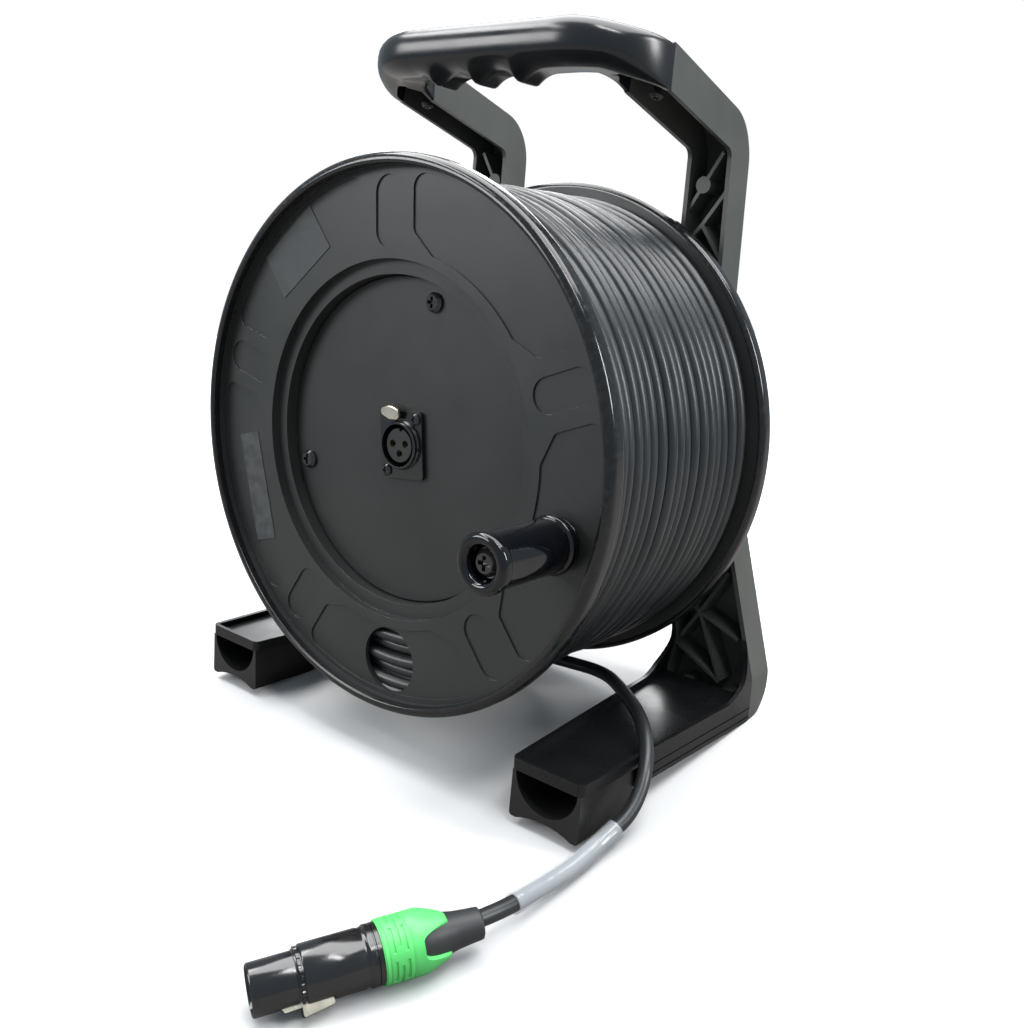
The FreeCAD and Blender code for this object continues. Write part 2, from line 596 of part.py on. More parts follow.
def rear_flange():
    rim0, rim1 = REAR_RIM
    web_back = rim0 + 2.5
    hub_in, hub_out = BUSH_R + FIT, SOCKET_OUT_R
    body = lathe([
        (FLANGE_R, rim0), (FLANGE_R, rim1), (RIM_INNER_R, rim1), (RIM_INNER_R, web_back),
        (hub_in, web_back), (hub_in, REAR_BUSH[0]), (hub_out, REAR_BUSH[0]), (hub_out, rim0)])
    body = bead_fillets(body, rim1, rim0)
    body = body.cut(moulded_pattern(web_back - POCKET_DEPTH, web_back + 1))
    fins = [turned(box(hub_out - 1, 60, 112, rim0 + 0.5, -1, 1), 72 * k + 15) for k in range(5)]
    body = fuse(body, *fins)
    for angle in FLANGE_SCREW_ANGLES:
        x, z = polar(FLANGE_SCREW_AT, angle)
        body = body.cut(cylinder(SCREW_R + FIT, 110, 140, x, z))
    return body


PLATE_SCREW_AT = 74.4
LEDGE = (57.2, 63.0)        # ring inside the barrel that the bearing plate is screwed to
SOCKET_OUT_R = 17.0         # outer radius of the sockets that hold the bushes


def bearing_screw_angles():
    return [a + 36 for a in FLANGE_SCREW_ANGLES]


GROMMET_Y, GROMMET_R = 38.0, 5.5


def core_barrel():
    inner = BARREL_R - BARREL_WALL
    body = tube(BARREL_R - 0.05, inner, 12.0, REAR_RIM[0])
    lugs = []
    for angle in FLANGE_SCREW_ANGLES:
        x, z = polar(FLANGE_SCREW_AT, angle)
        lug = fuse(cylinder(4.5, 0, 20, x, z), turned(box(FLANGE_SCREW_AT, 80, 0, 20, -4.5, 4.5), angle))
        for y in (PANEL_BACK + 3, REAR_RIM[0] - 20):
            copy = lug.copy()
            copy.translate(V(0, y, 0))
            lugs.append(copy.cut(cylinder(SCREW_R + FIT, y - 1, y + 21, x, z)))
    ledge = tube(inner + 0.5, 71.0, *LEDGE)
    body = fuse(body, ledge, *[lug.common(cylinder(inner + 1, 0, 200)) for lug in lugs])
    for angle in bearing_screw_angles():
        x, z = polar(PLATE_SCREW_AT, angle)
        body = body.cut(cylinder(SCREW_R + FIT, 50, 64, x, z))
    grommet_hole = Part.makeCylinder(GROMMET_R, 20, V(0, GROMMET_Y, -70), V(0, 0, -1))
    return body.cut(grommet_hole)


def bearing_plate():
    """Web that carries the front bush inside the barrel."""
    front, back, outer = FRONT_BUSH[0] + BUSH_COLLAR, LEDGE[0], BARREL_R - BARREL_WALL - 0.2
    body = lathe([
        (BUSH_R + FIT, front), (outer, front), (outer, back), (SOCKET_OUT_R, back),
        (SOCKET_OUT_R, FRONT_BUSH[1]), (BUSH_R + FIT, FRONT_BUSH[1])])
    fins = [turned(box(SOCKET_OUT_R - 1, 56, 57, 72, -1, 1), 72 * k + 15) for k in range(5)]
    body = fuse(body, *fins)
    for angle in bearing_screw_angles():
        x, z = polar(PLATE_SCREW_AT, angle)
        body = body.cut(cylinder(SCREW_R + FIT, 50, 60, x, z))
    for angle in FLANGE_SCREW_ANGLES:
        x, z = polar(48.0, angle)
        body = body.cut(cylinder(12.0, 50, 60, x, z))
    return body


def bush(y0, y1, flange_at_start):
    """Plastic sleeve with a thrust collar at its outer end."""
    if flange_at_start:
        collar = (y0, y0 + BUSH_COLLAR)
    else:
        collar = (y1 - BUSH_COLLAR, y1)
    return tube(BUSH_R, AXLE_R + FIT, y0, y1).fuse(
        tube(BUSH_COLLAR_R, AXLE_R + FIT, *collar)).removeSplitter()


def connector_panel():
    body = cylinder(PANEL_R, PANEL_FRONT, PANEL_BACK)
    body = body.cut(cylinder(RING_R + 1, 0, 30, SOCKET_X, SOCKET_Z))
    for x, z in SOCKET_SCREWS:
        body = body.cut(in_panel(cylinder(SOCKET_SCREW_R + FIT, 0, 30, x, z)))
    for angle in PANEL_SCREW_ANGLES:
        x, z = polar(PANEL_SCREW_AT, angle)
        body = body.cut(cylinder(SCREW_R + FIT, 0, 30, x, z))
    edges = [e for e in body.Edges if isinstance(e.Curve, Part.Circle)
             and abs(e.Curve.Radius - PANEL_R) < 1e-3 and abs(e.Curve.Center.y - PANEL_FRONT) < 1e-3]
    return body.makeFillet(0.6, edges)


# ---------------------------------------------------------------- the panel socket
SOCKET_SCREWS = ((9.5, 12.0), (-9.5, -12.0))
SOCKET_SCREW_R = 1.45


def in_panel(shape):
    """Moves a piece from the socket's own upright frame to its place on the panel."""
    placed = turned(shape, SOCKET_TURN)
    placed.translate(V(SOCKET_X, 0, SOCKET_Z))
    return placed


RING_R, RING_BORE, INSERT_R = 10.9, 9.8, 7.75
RING_FRONT = 10.4
TAB_FRONT, TAB_THICK, TAB_TRAVEL = 9.4, 1.5, 1.5
TAB_STEM = (-5.6, -1.6, 12.1, 14.8)         # x and z extents of the stem behind the push tab


def socket_housing():
    plate = prism(outline(
        [(-PLATE_W / 2, -PLATE_H / 2, 2), (PLATE_W / 2, -PLATE_H / 2, 2),
         (PLATE_W / 2, PLATE_H / 2, 2), (-PLATE_W / 2, PLATE_H / 2, 2)], "xz", PLATE_FRONT),
        V(0, PANEL_FRONT - PLATE_FRONT, 0))
    ring = lathe([(RING_BORE, RING_FRONT), (RING_R - 0.4, RING_FRONT), (RING_R, RING_FRONT + 0.4),
                  (RING_R, 12.0), (RING_R + 0.6, 12.6), (RING_R + 0.6, 36.0), (RING_BORE, 36.0)])
    body = plate.cut(cylinder(RING_BORE, 0, 60)).fuse(ring)
    x0, x1, z0, z1 = TAB_STEM
    body = body.cut(box(x0 - GAP, x1 + GAP, 12.7, PANEL_FRONT - 0.01, z0 - GAP, z1 + GAP))
    for x, z in SOCKET_SCREWS:
        body = body.cut(cylinder(SOCKET_SCREW_R + FIT, 0, 16, x, z))
    return in_panel(body)


CONTACT_SPOTS = ((-3.9, 0.7), (3.9, 0.7), (0.0, -3.9))


def socket_insert(front=11.6, back=26.0):
    """Contact carrier that stands free in the ring, on a base disc at its back."""
    body = fuse(cylinder(INSERT_R, front, back), cylinder(RING_BORE - FIT, back - 2.5, back))
    for x, z in CONTACT_SPOTS:
        body = body.cut(cylinder(1.75, 0, 60, x, z))
    key = box(0.5, 2.3, front - 1, front + 3, INSERT_R - 1.3, INSERT_R + 1)
    return in_panel(body.cut(key))


def contact(x, z, front, back):
    """Slotted female contact with a solder cup behind the insert."""
    sleeve = tube(1.70, 1.15, front, back, x, z)
    cup = cylinder(1.70, back, back + 2, x, z).fuse(tube(1.5, 0.9, back + 2, back + 8, x, z))
    return sleeve.fuse(cup)


def socket_latch():
    """Leaf-shaped push tab above the ring, on a stem that travels in the plate's slot."""
    leaf = prism(outline(
        [(-9.3, 16.7, 1.5), (-3.8, 18.4, 5), (1.9, 16.6, 2), (2.2, 11.9, 2), (-3.6, 11.8, 4),
         (-8.6, 13.9, 1.6)], "xz", TAB_FRONT), V(0, TAB_THICK, 0))
    rim = [e for e in leaf.Edges if edge_middle(e).y < TAB_FRONT + 1e-6]
    x0, x1, z0, z1 = TAB_STEM
    stem = box(x0, x1, TAB_FRONT + 1, PANEL_FRONT - TAB_TRAVEL - 0.2, z0, z1)
    return in_panel(leaf.makeFillet(0.5, rim).fuse(stem))


def internal_lead():
    """Short cable inside the barrel, from the socket to the grommet under the winding."""
    points = [V(0, 32, -12.8), V(0, 32, -30), V(5, 37.5, -48), V(0, GROMMET_Y, -66),
              V(0, GROMMET_Y, -81.9)]
    return sweep(points, [0, 30, 26, 34, 0], 2.6)


def tie_radius(points, i):
    """0.45 of the shorter run beside a point, over the tangent of half its turn."""
    back, onward = points[i - 1] - points[i], points[i + 1] - points[i]
    half_turn = (math.pi - back.getAngle(onward)) / 2
    return 0.45 * min(back.Length, onward.Length) / math.tan(half_turn)


def sweep(points, radii, radius, hollow=0.0):
    """Round bar, or a tube when hollow is given, along straight runs and tangent arcs."""
    path = round_path(points, radii, False)
    start, heading = points[0], (points[1] - points[0]).normalize()
    ring = Part.Wire(Part.makeCircle(radius, start, heading))
    bar = path.makePipeShell([ring], True, True)
    if hollow:
        bore = Part.Wire(Part.makeCircle(hollow, start, heading))
        bar = bar.cut(path.makePipeShell([bore], True, True))
    return bar


def knob_nodes():
    x, z = KNOB_X, KNOB_Z
    web_front = FRONT_RIM[1] - FLANGE_FACE
    spindle_seat = FRONT_RIM[1] - SPINDLE_HEAD
    washer_front = SPINDLE_END - KNOB_WASHER
    nodes["knob_base"] = lathe(
        [(SPINDLE_R + FIT, KNOB_FOOT + 0.4), (KNOB_COLLAR_R - 1.4, KNOB_FOOT + 0.4),
         (KNOB_COLLAR_R, KNOB_FOOT + 1.8), (KNOB_COLLAR_R, web_front),
         (SPINDLE_R + FIT, web_front)], x, z)
    nodes["knob_spindle"] = lathe(
        [(0, SPINDLE_END), (SPINDLE_R, SPINDLE_END), (SPINDLE_R, spindle_seat),
         (SPINDLE_HEAD_R, spindle_seat), (SPINDLE_HEAD_R, FRONT_RIM[1]), (0, FRONT_RIM[1])],
        x, z).cut(cylinder(SCREW_R + FIT, SPINDLE_END - 1, SPINDLE_END + 16, x, z))
    sleeve = lathe(
        [(SPINDLE_R + FIT, KNOB_FOOT + 0.1), (KNOB_R, KNOB_FOOT + 0.1), (KNOB_R, KNOB_FRONT + 6.6),
         (KNOB_BEAD_R, KNOB_FRONT + 5.6), (KNOB_BEAD_R, KNOB_FRONT + 3),
         (KNOB_BEAD_R - 1.3, KNOB_FRONT + 0.8), (KNOB_BEAD_R - 3.4, KNOB_FRONT),
         (KNOB_MOUTH_R, KNOB_FRONT), (KNOB_MOUTH_R - 0.4, KNOB_FRONT + 5.4),
         (KNOB_MOUTH_R - 0.8, SPINDLE_END + GAP), (SPINDLE_R + FIT, SPINDLE_END + GAP)], x, z)
    crest = [e for e in sleeve.Edges if isinstance(e.Curve, Part.Circle)
             and abs(e.Curve.Radius - KNOB_BEAD_R) < 1e-3]
    nodes["knob_sleeve"] = sleeve.makeFillet(0.9, crest)
    nodes["knob_washer"] = tube(6.0, SCREW_R + FIT, washer_front, SPINDLE_END, x, z)
    nodes["knob_screw"] = screw(5.4, 3.0, SCREW_R, 15, washer_front, x, z)


def drum_nodes():
    nodes["front_flange"] = front_flange()
    nodes["rear_flange"] = rear_flange()
    nodes["core_barrel"] = core_barrel()
    nodes["bearing_plate"] = bearing_plate()
    nodes["front_bush"] = bush(*FRONT_BUSH, True)
    nodes["rear_bush"] = bush(*REAR_BUSH, False)
    nodes["front_flange_screws"] = Part.makeCompound([
        screw(3.6, 1.6, SCREW_R, 16, 19.2, *polar(FLANGE_SCREW_AT, a)) for a in FLANGE_SCREW_ANGLES])
    nodes["rear_flange_screws"] = Part.makeCompound([
        screw(4.2, 2.4, SCREW_R, 20, REAR_RIM[0] + 2.5, *polar(FLANGE_SCREW_AT, a), -1)
        for a in FLANGE_SCREW_ANGLES])
    nodes["bearing_plate_screws"] = Part.makeCompound([
        screw(3.6, 2.0, SCREW_R, 9, FRONT_BUSH[0] + BUSH_COLLAR, *polar(PLATE_SCREW_AT, a))
        for a in bearing_screw_angles()])
    nodes["connector_panel"] = connector_panel()
    nodes["panel_screws"] = Part.makeCompound([
        screw(4.5, 2.6, SCREW_R, 13, PANEL_FRONT, *polar(PANEL_SCREW_AT, a))
        for a in PANEL_SCREW_ANGLES])
    nodes["socket_housing"] = socket_housing()
    nodes["socket_insert"] = socket_insert()
    nodes["socket_contacts"] = in_panel(
        Part.makeCompound([contact(x, z, 13.0, 26.0) for x, z in CONTACT_SPOTS]))
    nodes["socket_screws"] = in_panel(Part.makeCompound([
        screw(2.75, 1.5, SOCKET_SCREW_R, 9, PLATE_FRONT, x, z) for x, z in SOCKET_SCREWS]))
    nodes["socket_latch"] = socket_latch()
    nodes["internal_lead"] = internal_lead()
    grommet = Part.makeCylinder(GROMMET_R - 0.05, 4.2, V(0, GROMMET_Y, -77.4), V(0, 0, -1)).fuse(
        Part.makeCylinder(GROMMET_R + 2, 1.4, V(0, GROMMET_Y, -76.9), V(0, 0, -1)))
    nodes["lead_grommet"] = grommet.cut(
        Part.makeCylinder(2.6 + FIT, 20, V(0, GROMMET_Y, -66), V(0, 0, -1)))
    nodes["cable_winding"] = tube(WINDING_R, BARREL_R + 0.05, FRONT_RIM[1] + 0.2, REAR_RIM[0] - 1.2)
    pocket_floor = FRONT_RIM[1] - FLANGE_FACE + POCKET_DEPTH
    square = turned(box(92.5, 115.5, pocket_floor - 0.35, pocket_floor, -20, 20), 129.3)
    nodes["label_square"] = square
    tall = turned(box(-7.2, 7.2, pocket_floor - 0.35, pocket_floor, -27.5, 27.5), 16.0)
    tall.translate(V(-92.6, 0, -37.4))
    nodes["label_strip"] = tall


# ---------------------------------------------------------------- the free lead, in the standing frame
SLEEVE_R = 4.3
LEAD = [
    V(2.0, 25.0, 17.1), V(36.0, 27.3, 18.3), V(64.0, 24.2, 22.8), V(87.5, 8.0, 33.5),
    V(116.0, -19.0, 40.5), V(132.5, -38.5, 27.0), V(134.0, -54.0, 11.0), V(132.5, -77.0, 5.5),
    V(133.2, -93.0, 4.65), V(131.0, -111.0, 4.65), V(128.0, -129.5, 6.8), V(126.2, -141.0, 9.7),
    V(124.0, -151.2, 11.5),
]
SLEEVE_FROM, SLEEVE_TO = 7, 10      # the sleeve starts and ends in the middle of these points' runs
PLUG_MOUTH = V(127.2, -146.9, 11.9)
PLUG_HEADING = 27.8                 # degrees from -Y towards -X
PLUG_ROLL = 47.0                    # the latch faces down and outwards
BOOT_MOUTH_R, BOOT_BORE, BOOT_BORE_DEPTH = 5.8, 4.9, 4.0


def lead_radii():
    inner = [tie_radius(LEAD, i) for i in range(1, len(LEAD) - 1)]
    return [0.0] + inner + [0.0]


def sleeve_path():
    """The stretch of the lead's route that the clear sleeve covers, between two run middles."""
    first = (LEAD[SLEEVE_FROM - 1] + LEAD[SLEEVE_FROM]) * 0.5
    last = (LEAD[SLEEVE_TO] + LEAD[SLEEVE_TO - 1]) * 0.5
    points = [first] + LEAD[SLEEVE_FROM:SLEEVE_TO] + [last]
    return points, [0.0] + lead_radii()[SLEEVE_FROM:SLEEVE_TO] + [0.0]


def plug_placement():
    """Plug frame: its own +Y runs from the boot's mouth to the nose."""
    heading = FreeCAD.Rotation(V(0, 0, 1), 180 - PLUG_HEADING)
    return FreeCAD.Placement(PLUG_MOUTH, heading.multiply(FreeCAD.Rotation(Y_AXIS, PLUG_ROLL)))


def plug_latch():
    """Bent spring plate beside the shell, with the nib that locks into a chassis socket."""
    side = [(56.0, -9.0, 0), (56.0, -11.6, 0.8), (66.6, -13.1, 0.8), (66.6, -9.8, 0),
            (72.4, -10.0, 0.5), (73.6, -7.9, 0), (56.0, -7.9, 0)]
    blade = prism(outline(side, "yz", -3.2), V(6.4, 0, 0))
    beside_nib = box(1.6, 4, 66.8, 75, -14, -7)
    return blade.cut(beside_nib).cut(mirrored(beside_nib))


def plug_nodes():
    boot = lathe([
        (0, BOOT_BORE_DEPTH), (BOOT_BORE, BOOT_BORE_DEPTH), (BOOT_BORE, 0), (5.3, 0),
        (BOOT_MOUTH_R, 0.7), (6.6, 10), (8.3, 17), (9.8, 24), (9.8, 30), (0, 30)])
    ring = lathe([(9.85, 17.4), (10.4, 17.4), (11.3, 24), (11.7, 30), (11.3, 38.0), (10.1, 38.0),
                  (9.85, 30)])
    shell = lathe([(8.4, 30.1), (9.8, 30.1), (10.0, 38.1), (10.5, 38.1), (10.5, 44), (10.1, 44.5),
                   (10.1, 65.0), (9.6, 66.2), (8.8, 66.4), (8.8, 81.8), (8.2, 82.4), (6.9, 82.4),
                   (6.9, 50), (8.4, 49)])
    latch_slot = fuse(box(-3.6, 3.6, 55.6, 67.0, -12, -6.9), box(-2.0, 2.0, 66, 74.2, -12, -6.9))
    insert = cylinder(6.8, 52.0, 80.7)
    spots = [(0.72 * x, 0.72 * z) for x, z in CONTACT_SPOTS]
    for x, z in spots:
        insert = insert.cut(cylinder(1.6, 60, 90, x, z))
    pieces = {
        "plug_boot": boot,
        "plug_ring": ring,
        "plug_shell": shell.cut(latch_slot),
        "plug_insert": insert,
        "plug_contacts": Part.makeCompound([tube(1.5, 1.05, 62, 79.8, x, z) for x, z in spots]),
        "plug_latch": plug_latch(),
    }
    for name, shape in pieces.items():
        shape.Placement = plug_placement().multiply(shape.Placement)
        nodes[name] = shape


def lead_nodes():
    radii = lead_radii()
    nodes["lead_cable"] = sweep(LEAD, radii, CABLE_R)
    points, bends = sleeve_path()
    nodes["lead_sleeve"] = sweep(points, bends, SLEEVE_R, CABLE_R + 0.1)
    plug_nodes()
    length = round_path(LEAD, radii, False).Length
    print("lead radii", [round(r, 1) for r in radii[1:-1]])
    print("lead length", round(length, 1), "runs",
          [round((b - a).Length, 1) for a, b in zip(LEAD, LEAD[1:])])
    print("tube volume over section times length",
          round(nodes["lead_cable"].Volume / (math.pi * CABLE_R ** 2 * length), 4))


# ---------------------------------------------------------------- assembly
def standing():
    """Turns the drum frame back by the lean and puts the ground plane at z = 0."""
    return FreeCAD.Placement(
        V(0, -CENTRE_Y, GROUND_LIFT), FreeCAD.Rotation(V(1, 0, 0), -LEAN))


stand_nodes()
drum_nodes()
knob_nodes()
for shape in nodes.values():
    shape.Placement = standing().multiply(shape.Placement)
fixed_box = Part.makeCompound(list(nodes.values())).BoundBox
lead_nodes()

os.makedirs("parts", exist_ok=True)
for name, shape in nodes.items():
    shape.exportStep("parts/" + name + ".step")
    state = "" if shape.isValid() else "  INVALID"
    print(f"{name:22s} solids {len(shape.Solids):2d} volume {shape.Volume:12.1f}{state}")
print("nodes", len(nodes), "box without the lead", fixed_box)
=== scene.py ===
import json
import math

import bpy
from mathutils import Matrix, Vector, noise


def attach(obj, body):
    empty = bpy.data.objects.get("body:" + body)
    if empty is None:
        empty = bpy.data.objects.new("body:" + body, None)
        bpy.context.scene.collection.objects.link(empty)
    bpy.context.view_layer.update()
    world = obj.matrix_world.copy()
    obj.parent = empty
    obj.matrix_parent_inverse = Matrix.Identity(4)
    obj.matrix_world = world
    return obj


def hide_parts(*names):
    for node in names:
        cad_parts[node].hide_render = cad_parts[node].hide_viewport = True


# A portable cable drum on a leaning stand. Lengths are in metres unless a name or note says mm.

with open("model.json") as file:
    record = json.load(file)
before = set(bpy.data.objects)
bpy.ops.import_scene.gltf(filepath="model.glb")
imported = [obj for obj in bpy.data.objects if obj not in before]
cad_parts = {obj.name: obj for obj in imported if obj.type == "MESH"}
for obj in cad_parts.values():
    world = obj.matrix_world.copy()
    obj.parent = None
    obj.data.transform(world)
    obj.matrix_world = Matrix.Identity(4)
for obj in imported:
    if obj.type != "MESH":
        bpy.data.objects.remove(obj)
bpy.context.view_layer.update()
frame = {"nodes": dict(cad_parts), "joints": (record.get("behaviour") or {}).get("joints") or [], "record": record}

MM = 0.001
X_AXIS = Vector((1, 0, 0))
joints = {j["name"]: j for j in frame["joints"]}
mounts = {m["name"]: m for m in frame["record"]["mounts"]}


def placed_axes(origin, x, y, z):
    """Matrix from a piece's own axes, in mm, to the row frame, in metres."""
    turn = Matrix((x, y, z)).transposed().to_4x4()
    return Matrix.Translation(Vector(origin)) @ turn @ Matrix.Scale(MM, 4)


DRUM_ORIGIN = Vector(joints["drum_spin"]["pos_m"])
DRUM_AXIS = Vector(joints["drum_spin"]["axis"]).normalized()
# the drum frame: Y along the drum axis from the front, Z up the drum, origin at the front rim
DRUM = placed_axes(DRUM_ORIGIN, X_AXIS, DRUM_AXIS, X_AXIS.cross(DRUM_AXIS))


# ---------------------------------------------------------------- mesh helpers
def add_piece(name, verts, faces, material, body, place=None, replaces=(), sharp=50):
    """A smooth-shaded mesh that rides on a body; its points are in the place matrix's frame."""
    mesh = bpy.data.meshes.new(name)
    points = [place @ Vector(v) for v in verts] if place else verts
    mesh.from_pydata(points, [], faces)
    mesh.validate()
    mesh.shade_smooth()
    mesh.set_sharp_from_angle(angle=math.radians(sharp))
    mesh.materials.append(material)
    obj = bpy.data.objects.new(name, mesh)
    bpy.context.scene.collection.objects.link(obj)
    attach(obj, body)
    if replaces:
        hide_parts(*replaces)
    return obj


def grid_faces(rows, columns, wrap_rows=False, wrap_columns=True, start=0):
    """Quads over rows of points, each row with the same number of columns."""
    faces = []
    for i in range(rows if wrap_rows else rows - 1):
        for j in range(columns if wrap_columns else columns - 1):
            a, b = i * columns, (i + 1) % rows * columns
            k = (j + 1) % columns
            faces.append((start + a + j, start + a + k, start + b + k, start + b + j))
    return faces


def loft(rings, capped=True, closed=False):
    """Points and faces of a skin over rings of points."""
    columns = len(rings[0])
    verts = [p for ring in rings for p in ring]
    faces = grid_faces(len(rings), columns, wrap_rows=closed)
    if capped and not closed:
        faces.append(tuple(range(columns))[::-1])
        faces.append(tuple(range(len(verts) - columns, len(verts))))
    return verts, faces


def joined(*parts):
    """Several (points, faces) skins as one."""
    verts, faces = [], []
    for part_verts, part_faces in parts:
        base = len(verts)
        verts += list(part_verts)
        faces += [tuple(base + i for i in face) for face in part_faces]
    return verts, faces


def tube_rings(path, radius, sides, closed=False):
    """Circles square to a path, carried along it without twisting."""
    count = len(path)
    rings, side = [], None
    for i, point in enumerate(path):
        if closed:
            heading = path[(i + 1) % count] - path[i - 1]
        else:
            heading = path[min(i + 1, count - 1)] - path[max(i - 1, 0)]
        heading.normalize()
        if side is None:
            side = heading.orthogonal()
        side = (side - heading * side.dot(heading)).normalized()
        other = heading.cross(side)
        r = radius(i) if callable(radius) else radius
        rings.append([point + (side * math.cos(a) + other * math.sin(a)) * r
                      for a in (2 * math.pi * k / sides for k in range(sides))])
    return rings


def lathe(profile, steps, wave=None):
    """Skin of a profile of (radius, y) points turned about Y; wave(angle, radius, y) may move points."""
    rings = []
    for radius, y in profile:
        ring = []
        for k in range(steps):
            a = 2 * math.pi * k / steps
            r, along = wave(a, radius, y) if wave else (radius, y)
            ring.append(Vector((r * math.cos(a), along, r * math.sin(a))))
        rings.append(ring)
    return loft(rings, closed=True)


def smoothstep(t):
    t = min(max(t, 0.0), 1.0)
    return t * t * (3 - 2 * t)


# ---------------------------------------------------------------- materials
class Shader:
    """Builds one procedural material on the Principled shader, in object coordinates."""

    def __init__(self, name, **sockets):
        self.material = bpy.data.materials.new(name)
        self.material.use_nodes = True
        self.tree = self.material.node_tree
        self.principled = self.tree.nodes["Principled BSDF"]
        self.coords = self.tree.nodes.new("ShaderNodeTexCoord").outputs["Object"]
        for socket, value in sockets.items():
            self.principled.inputs[socket.replace("_", " ")].default_value = value

    def link(self, source, target):
        self.tree.links.new(source, target)

    def noise(self, scale, detail=3.0, stretch=None):
        node = self.tree.nodes.new("ShaderNodeTexNoise")
        node.inputs["Scale"].default_value = scale
        node.inputs["Detail"].default_value = detail
        source = self.coords
        if stretch:
            mapping = self.tree.nodes.new("ShaderNodeMapping")
            mapping.inputs["Scale"].default_value = stretch
            self.link(self.coords, mapping.inputs["Vector"])
            source = mapping.outputs["Vector"]
        self.link(source, node.inputs["Vector"])
        return node.outputs["Fac"]

    def ramp(self, source, low, high, out_low=0.0, out_high=1.0):
        node = self.tree.nodes.new("ShaderNodeMapRange")
        node.inputs["From Min"].default_value = low
        node.inputs["From Max"].default_value = high
        node.inputs["To Min"].default_value = out_low
        node.inputs["To Max"].default_value = out_high
        self.link(source, node.inputs["Value"])
        return node.outputs["Result"]

    def mix_color(self, factor, first, second):
        node = self.tree.nodes.new("ShaderNodeMix")
        node.data_type = "RGBA"
        self.link(factor, node.inputs["Factor"])
        for value, socket in ((first, node.inputs[6]), (second, node.inputs[7])):
            if isinstance(value, tuple):
                socket.default_value = (*value, 1.0)
            else:
                self.link(value, socket)
        return node.outputs[2]

    def math(self, operation, first, second=0.0):
        node = self.tree.nodes.new("ShaderNodeMath")
        node.operation = operation
        for value, socket in ((first, node.inputs[0]), (second, node.inputs[1])):
            if isinstance(value, (int, float)):
                socket.default_value = value
            else:
                self.link(value, socket)
        return node.outputs[0]

    def color(self, source):
        self.link(source, self.principled.inputs["Base Color"])

    def roughness(self, source):
        self.link(source, self.principled.inputs["Roughness"])

    def bump(self, source, strength, distance):
        node = self.tree.nodes.new("ShaderNodeBump")
        node.inputs["Strength"].default_value = strength
        node.inputs["Distance"].default_value = distance
        self.link(source, node.inputs["Height"])
        previous = self.principled.inputs["Normal"].links
        if previous:
            self.link(previous[0].from_socket, node.inputs["Normal"])
        self.link(node.outputs["Normal"], self.principled.inputs["Normal"])


def moulded(name, dark, light, rough, grain, **sockets):
    """Moulded plastic: soft colour clouds, dust specks, uneven gloss and a fine surface grain."""
    shader = Shader(name, **sockets)
    clouds = shader.ramp(shader.noise(18, 5), 0.35, 0.65)
    base = shader.mix_color(clouds, dark, light)
    dust = shader.ramp(shader.noise(1500, 2), 0.74, 0.8)
    dusty = shader.mix_color(shader.math("MULTIPLY", dust, 0.35), base, tuple(c * 2 + 0.02 for c in light))
    shader.color(dusty)
    smudges = shader.ramp(shader.noise(45, 4), 0.3, 0.7, rough[0], rough[1])
    shader.roughness(smudges)
    shader.bump(shader.noise(grain, 2), 0.2, 0.00006)
    return shader


def metal(name, color, rough, brushed=(1, 1, 1)):
    shader = Shader(name, Metallic=1.0)
    streaks = shader.noise(260, 3, brushed)
    shader.color(shader.mix_color(streaks, tuple(c * 0.88 for c in color), color))
    shader.roughness(shader.ramp(streaks, 0.3, 0.7, rough * 0.8, rough * 1.2))
    shader.bump(streaks, 0.06, 0.00002)
    return shader.material


def drum_plastic():
    """Satin flange with a fine moulded grain."""
    shader = moulded("drum_plastic", (0.0165, 0.0180, 0.0175), (0.022, 0.0238, 0.0232), (0.36, 0.46), 2600)
    shader.bump(shader.noise(140, 3), 0.12, 0.00015)
    return shader.material


def painted_light_shader(name, color, rough):
    """Shinier material whose colour is painted light, in random blotches: lighter bevelled edges of a moulding as
    a painted highlight, or darkened screws as painted shade.
    """
    shader = Shader(name, Specular_IOR_Level=0.9)
    blotched = shader.ramp(shader.noise(300, 4), 0.35, 0.65)
    shader.color(shader.mix_color(blotched, tuple(c * 0.6 for c in color), color))
    shader.roughness(shader.ramp(blotched, 0, 1, rough, rough + 0.1))
    shader.bump(shader.noise(900, 2), 0.1, 0.00003)
    return shader.material


def rim_gloss():
    """Polished rim: fine hoop scratches and a slightly uneven gloss."""
    shader = Shader("rim_gloss", Specular_IOR_Level=0.5)
    scratches = shader.ramp(shader.noise(420, 5), 0.45, 0.75)
    shader.color(shader.mix_color(scratches, (0.0065, 0.007, 0.0075), (0.014, 0.015, 0.015)))
    shader.roughness(shader.ramp(scratches, 0, 1, 0.13, 0.26))
    shader.bump(scratches, 0.08, 0.00004)
    return shader.material


def cable_jacket():
    """Smooth matte jacket with faint scuffs."""
    shader = Shader("cable_jacket")
    clouds = shader.ramp(shader.noise(40, 4), 0.3, 0.7)
    base = shader.mix_color(clouds, (0.0135, 0.0160, 0.0178), (0.020, 0.0232, 0.0255))
    scuffs = shader.ramp(shader.noise(900, 3), 0.70, 0.8, 0, 0.12)
    shader.color(shader.mix_color(scuffs, base, (0.09, 0.095, 0.10)))
    shader.roughness(shader.ramp(shader.noise(90, 3), 0.3, 0.7, 0.30, 0.40))
    shader.bump(shader.noise(3000, 2), 0.12, 0.00004)
    return shader.material


def label_film():
    """Blank worn label: grey film, rubbed lighter in patches."""
    shader = Shader("label_grey")
    wear = shader.ramp(shader.noise(220, 6), 0.42, 0.6)
    shader.color(shader.mix_color(wear, (0.034, 0.038, 0.039), (0.054, 0.059, 0.060)))
    shader.roughness(shader.ramp(wear, 0, 1, 0.5, 0.7))
    shader.bump(wear, 0.3, 0.00006)
    return shader.material


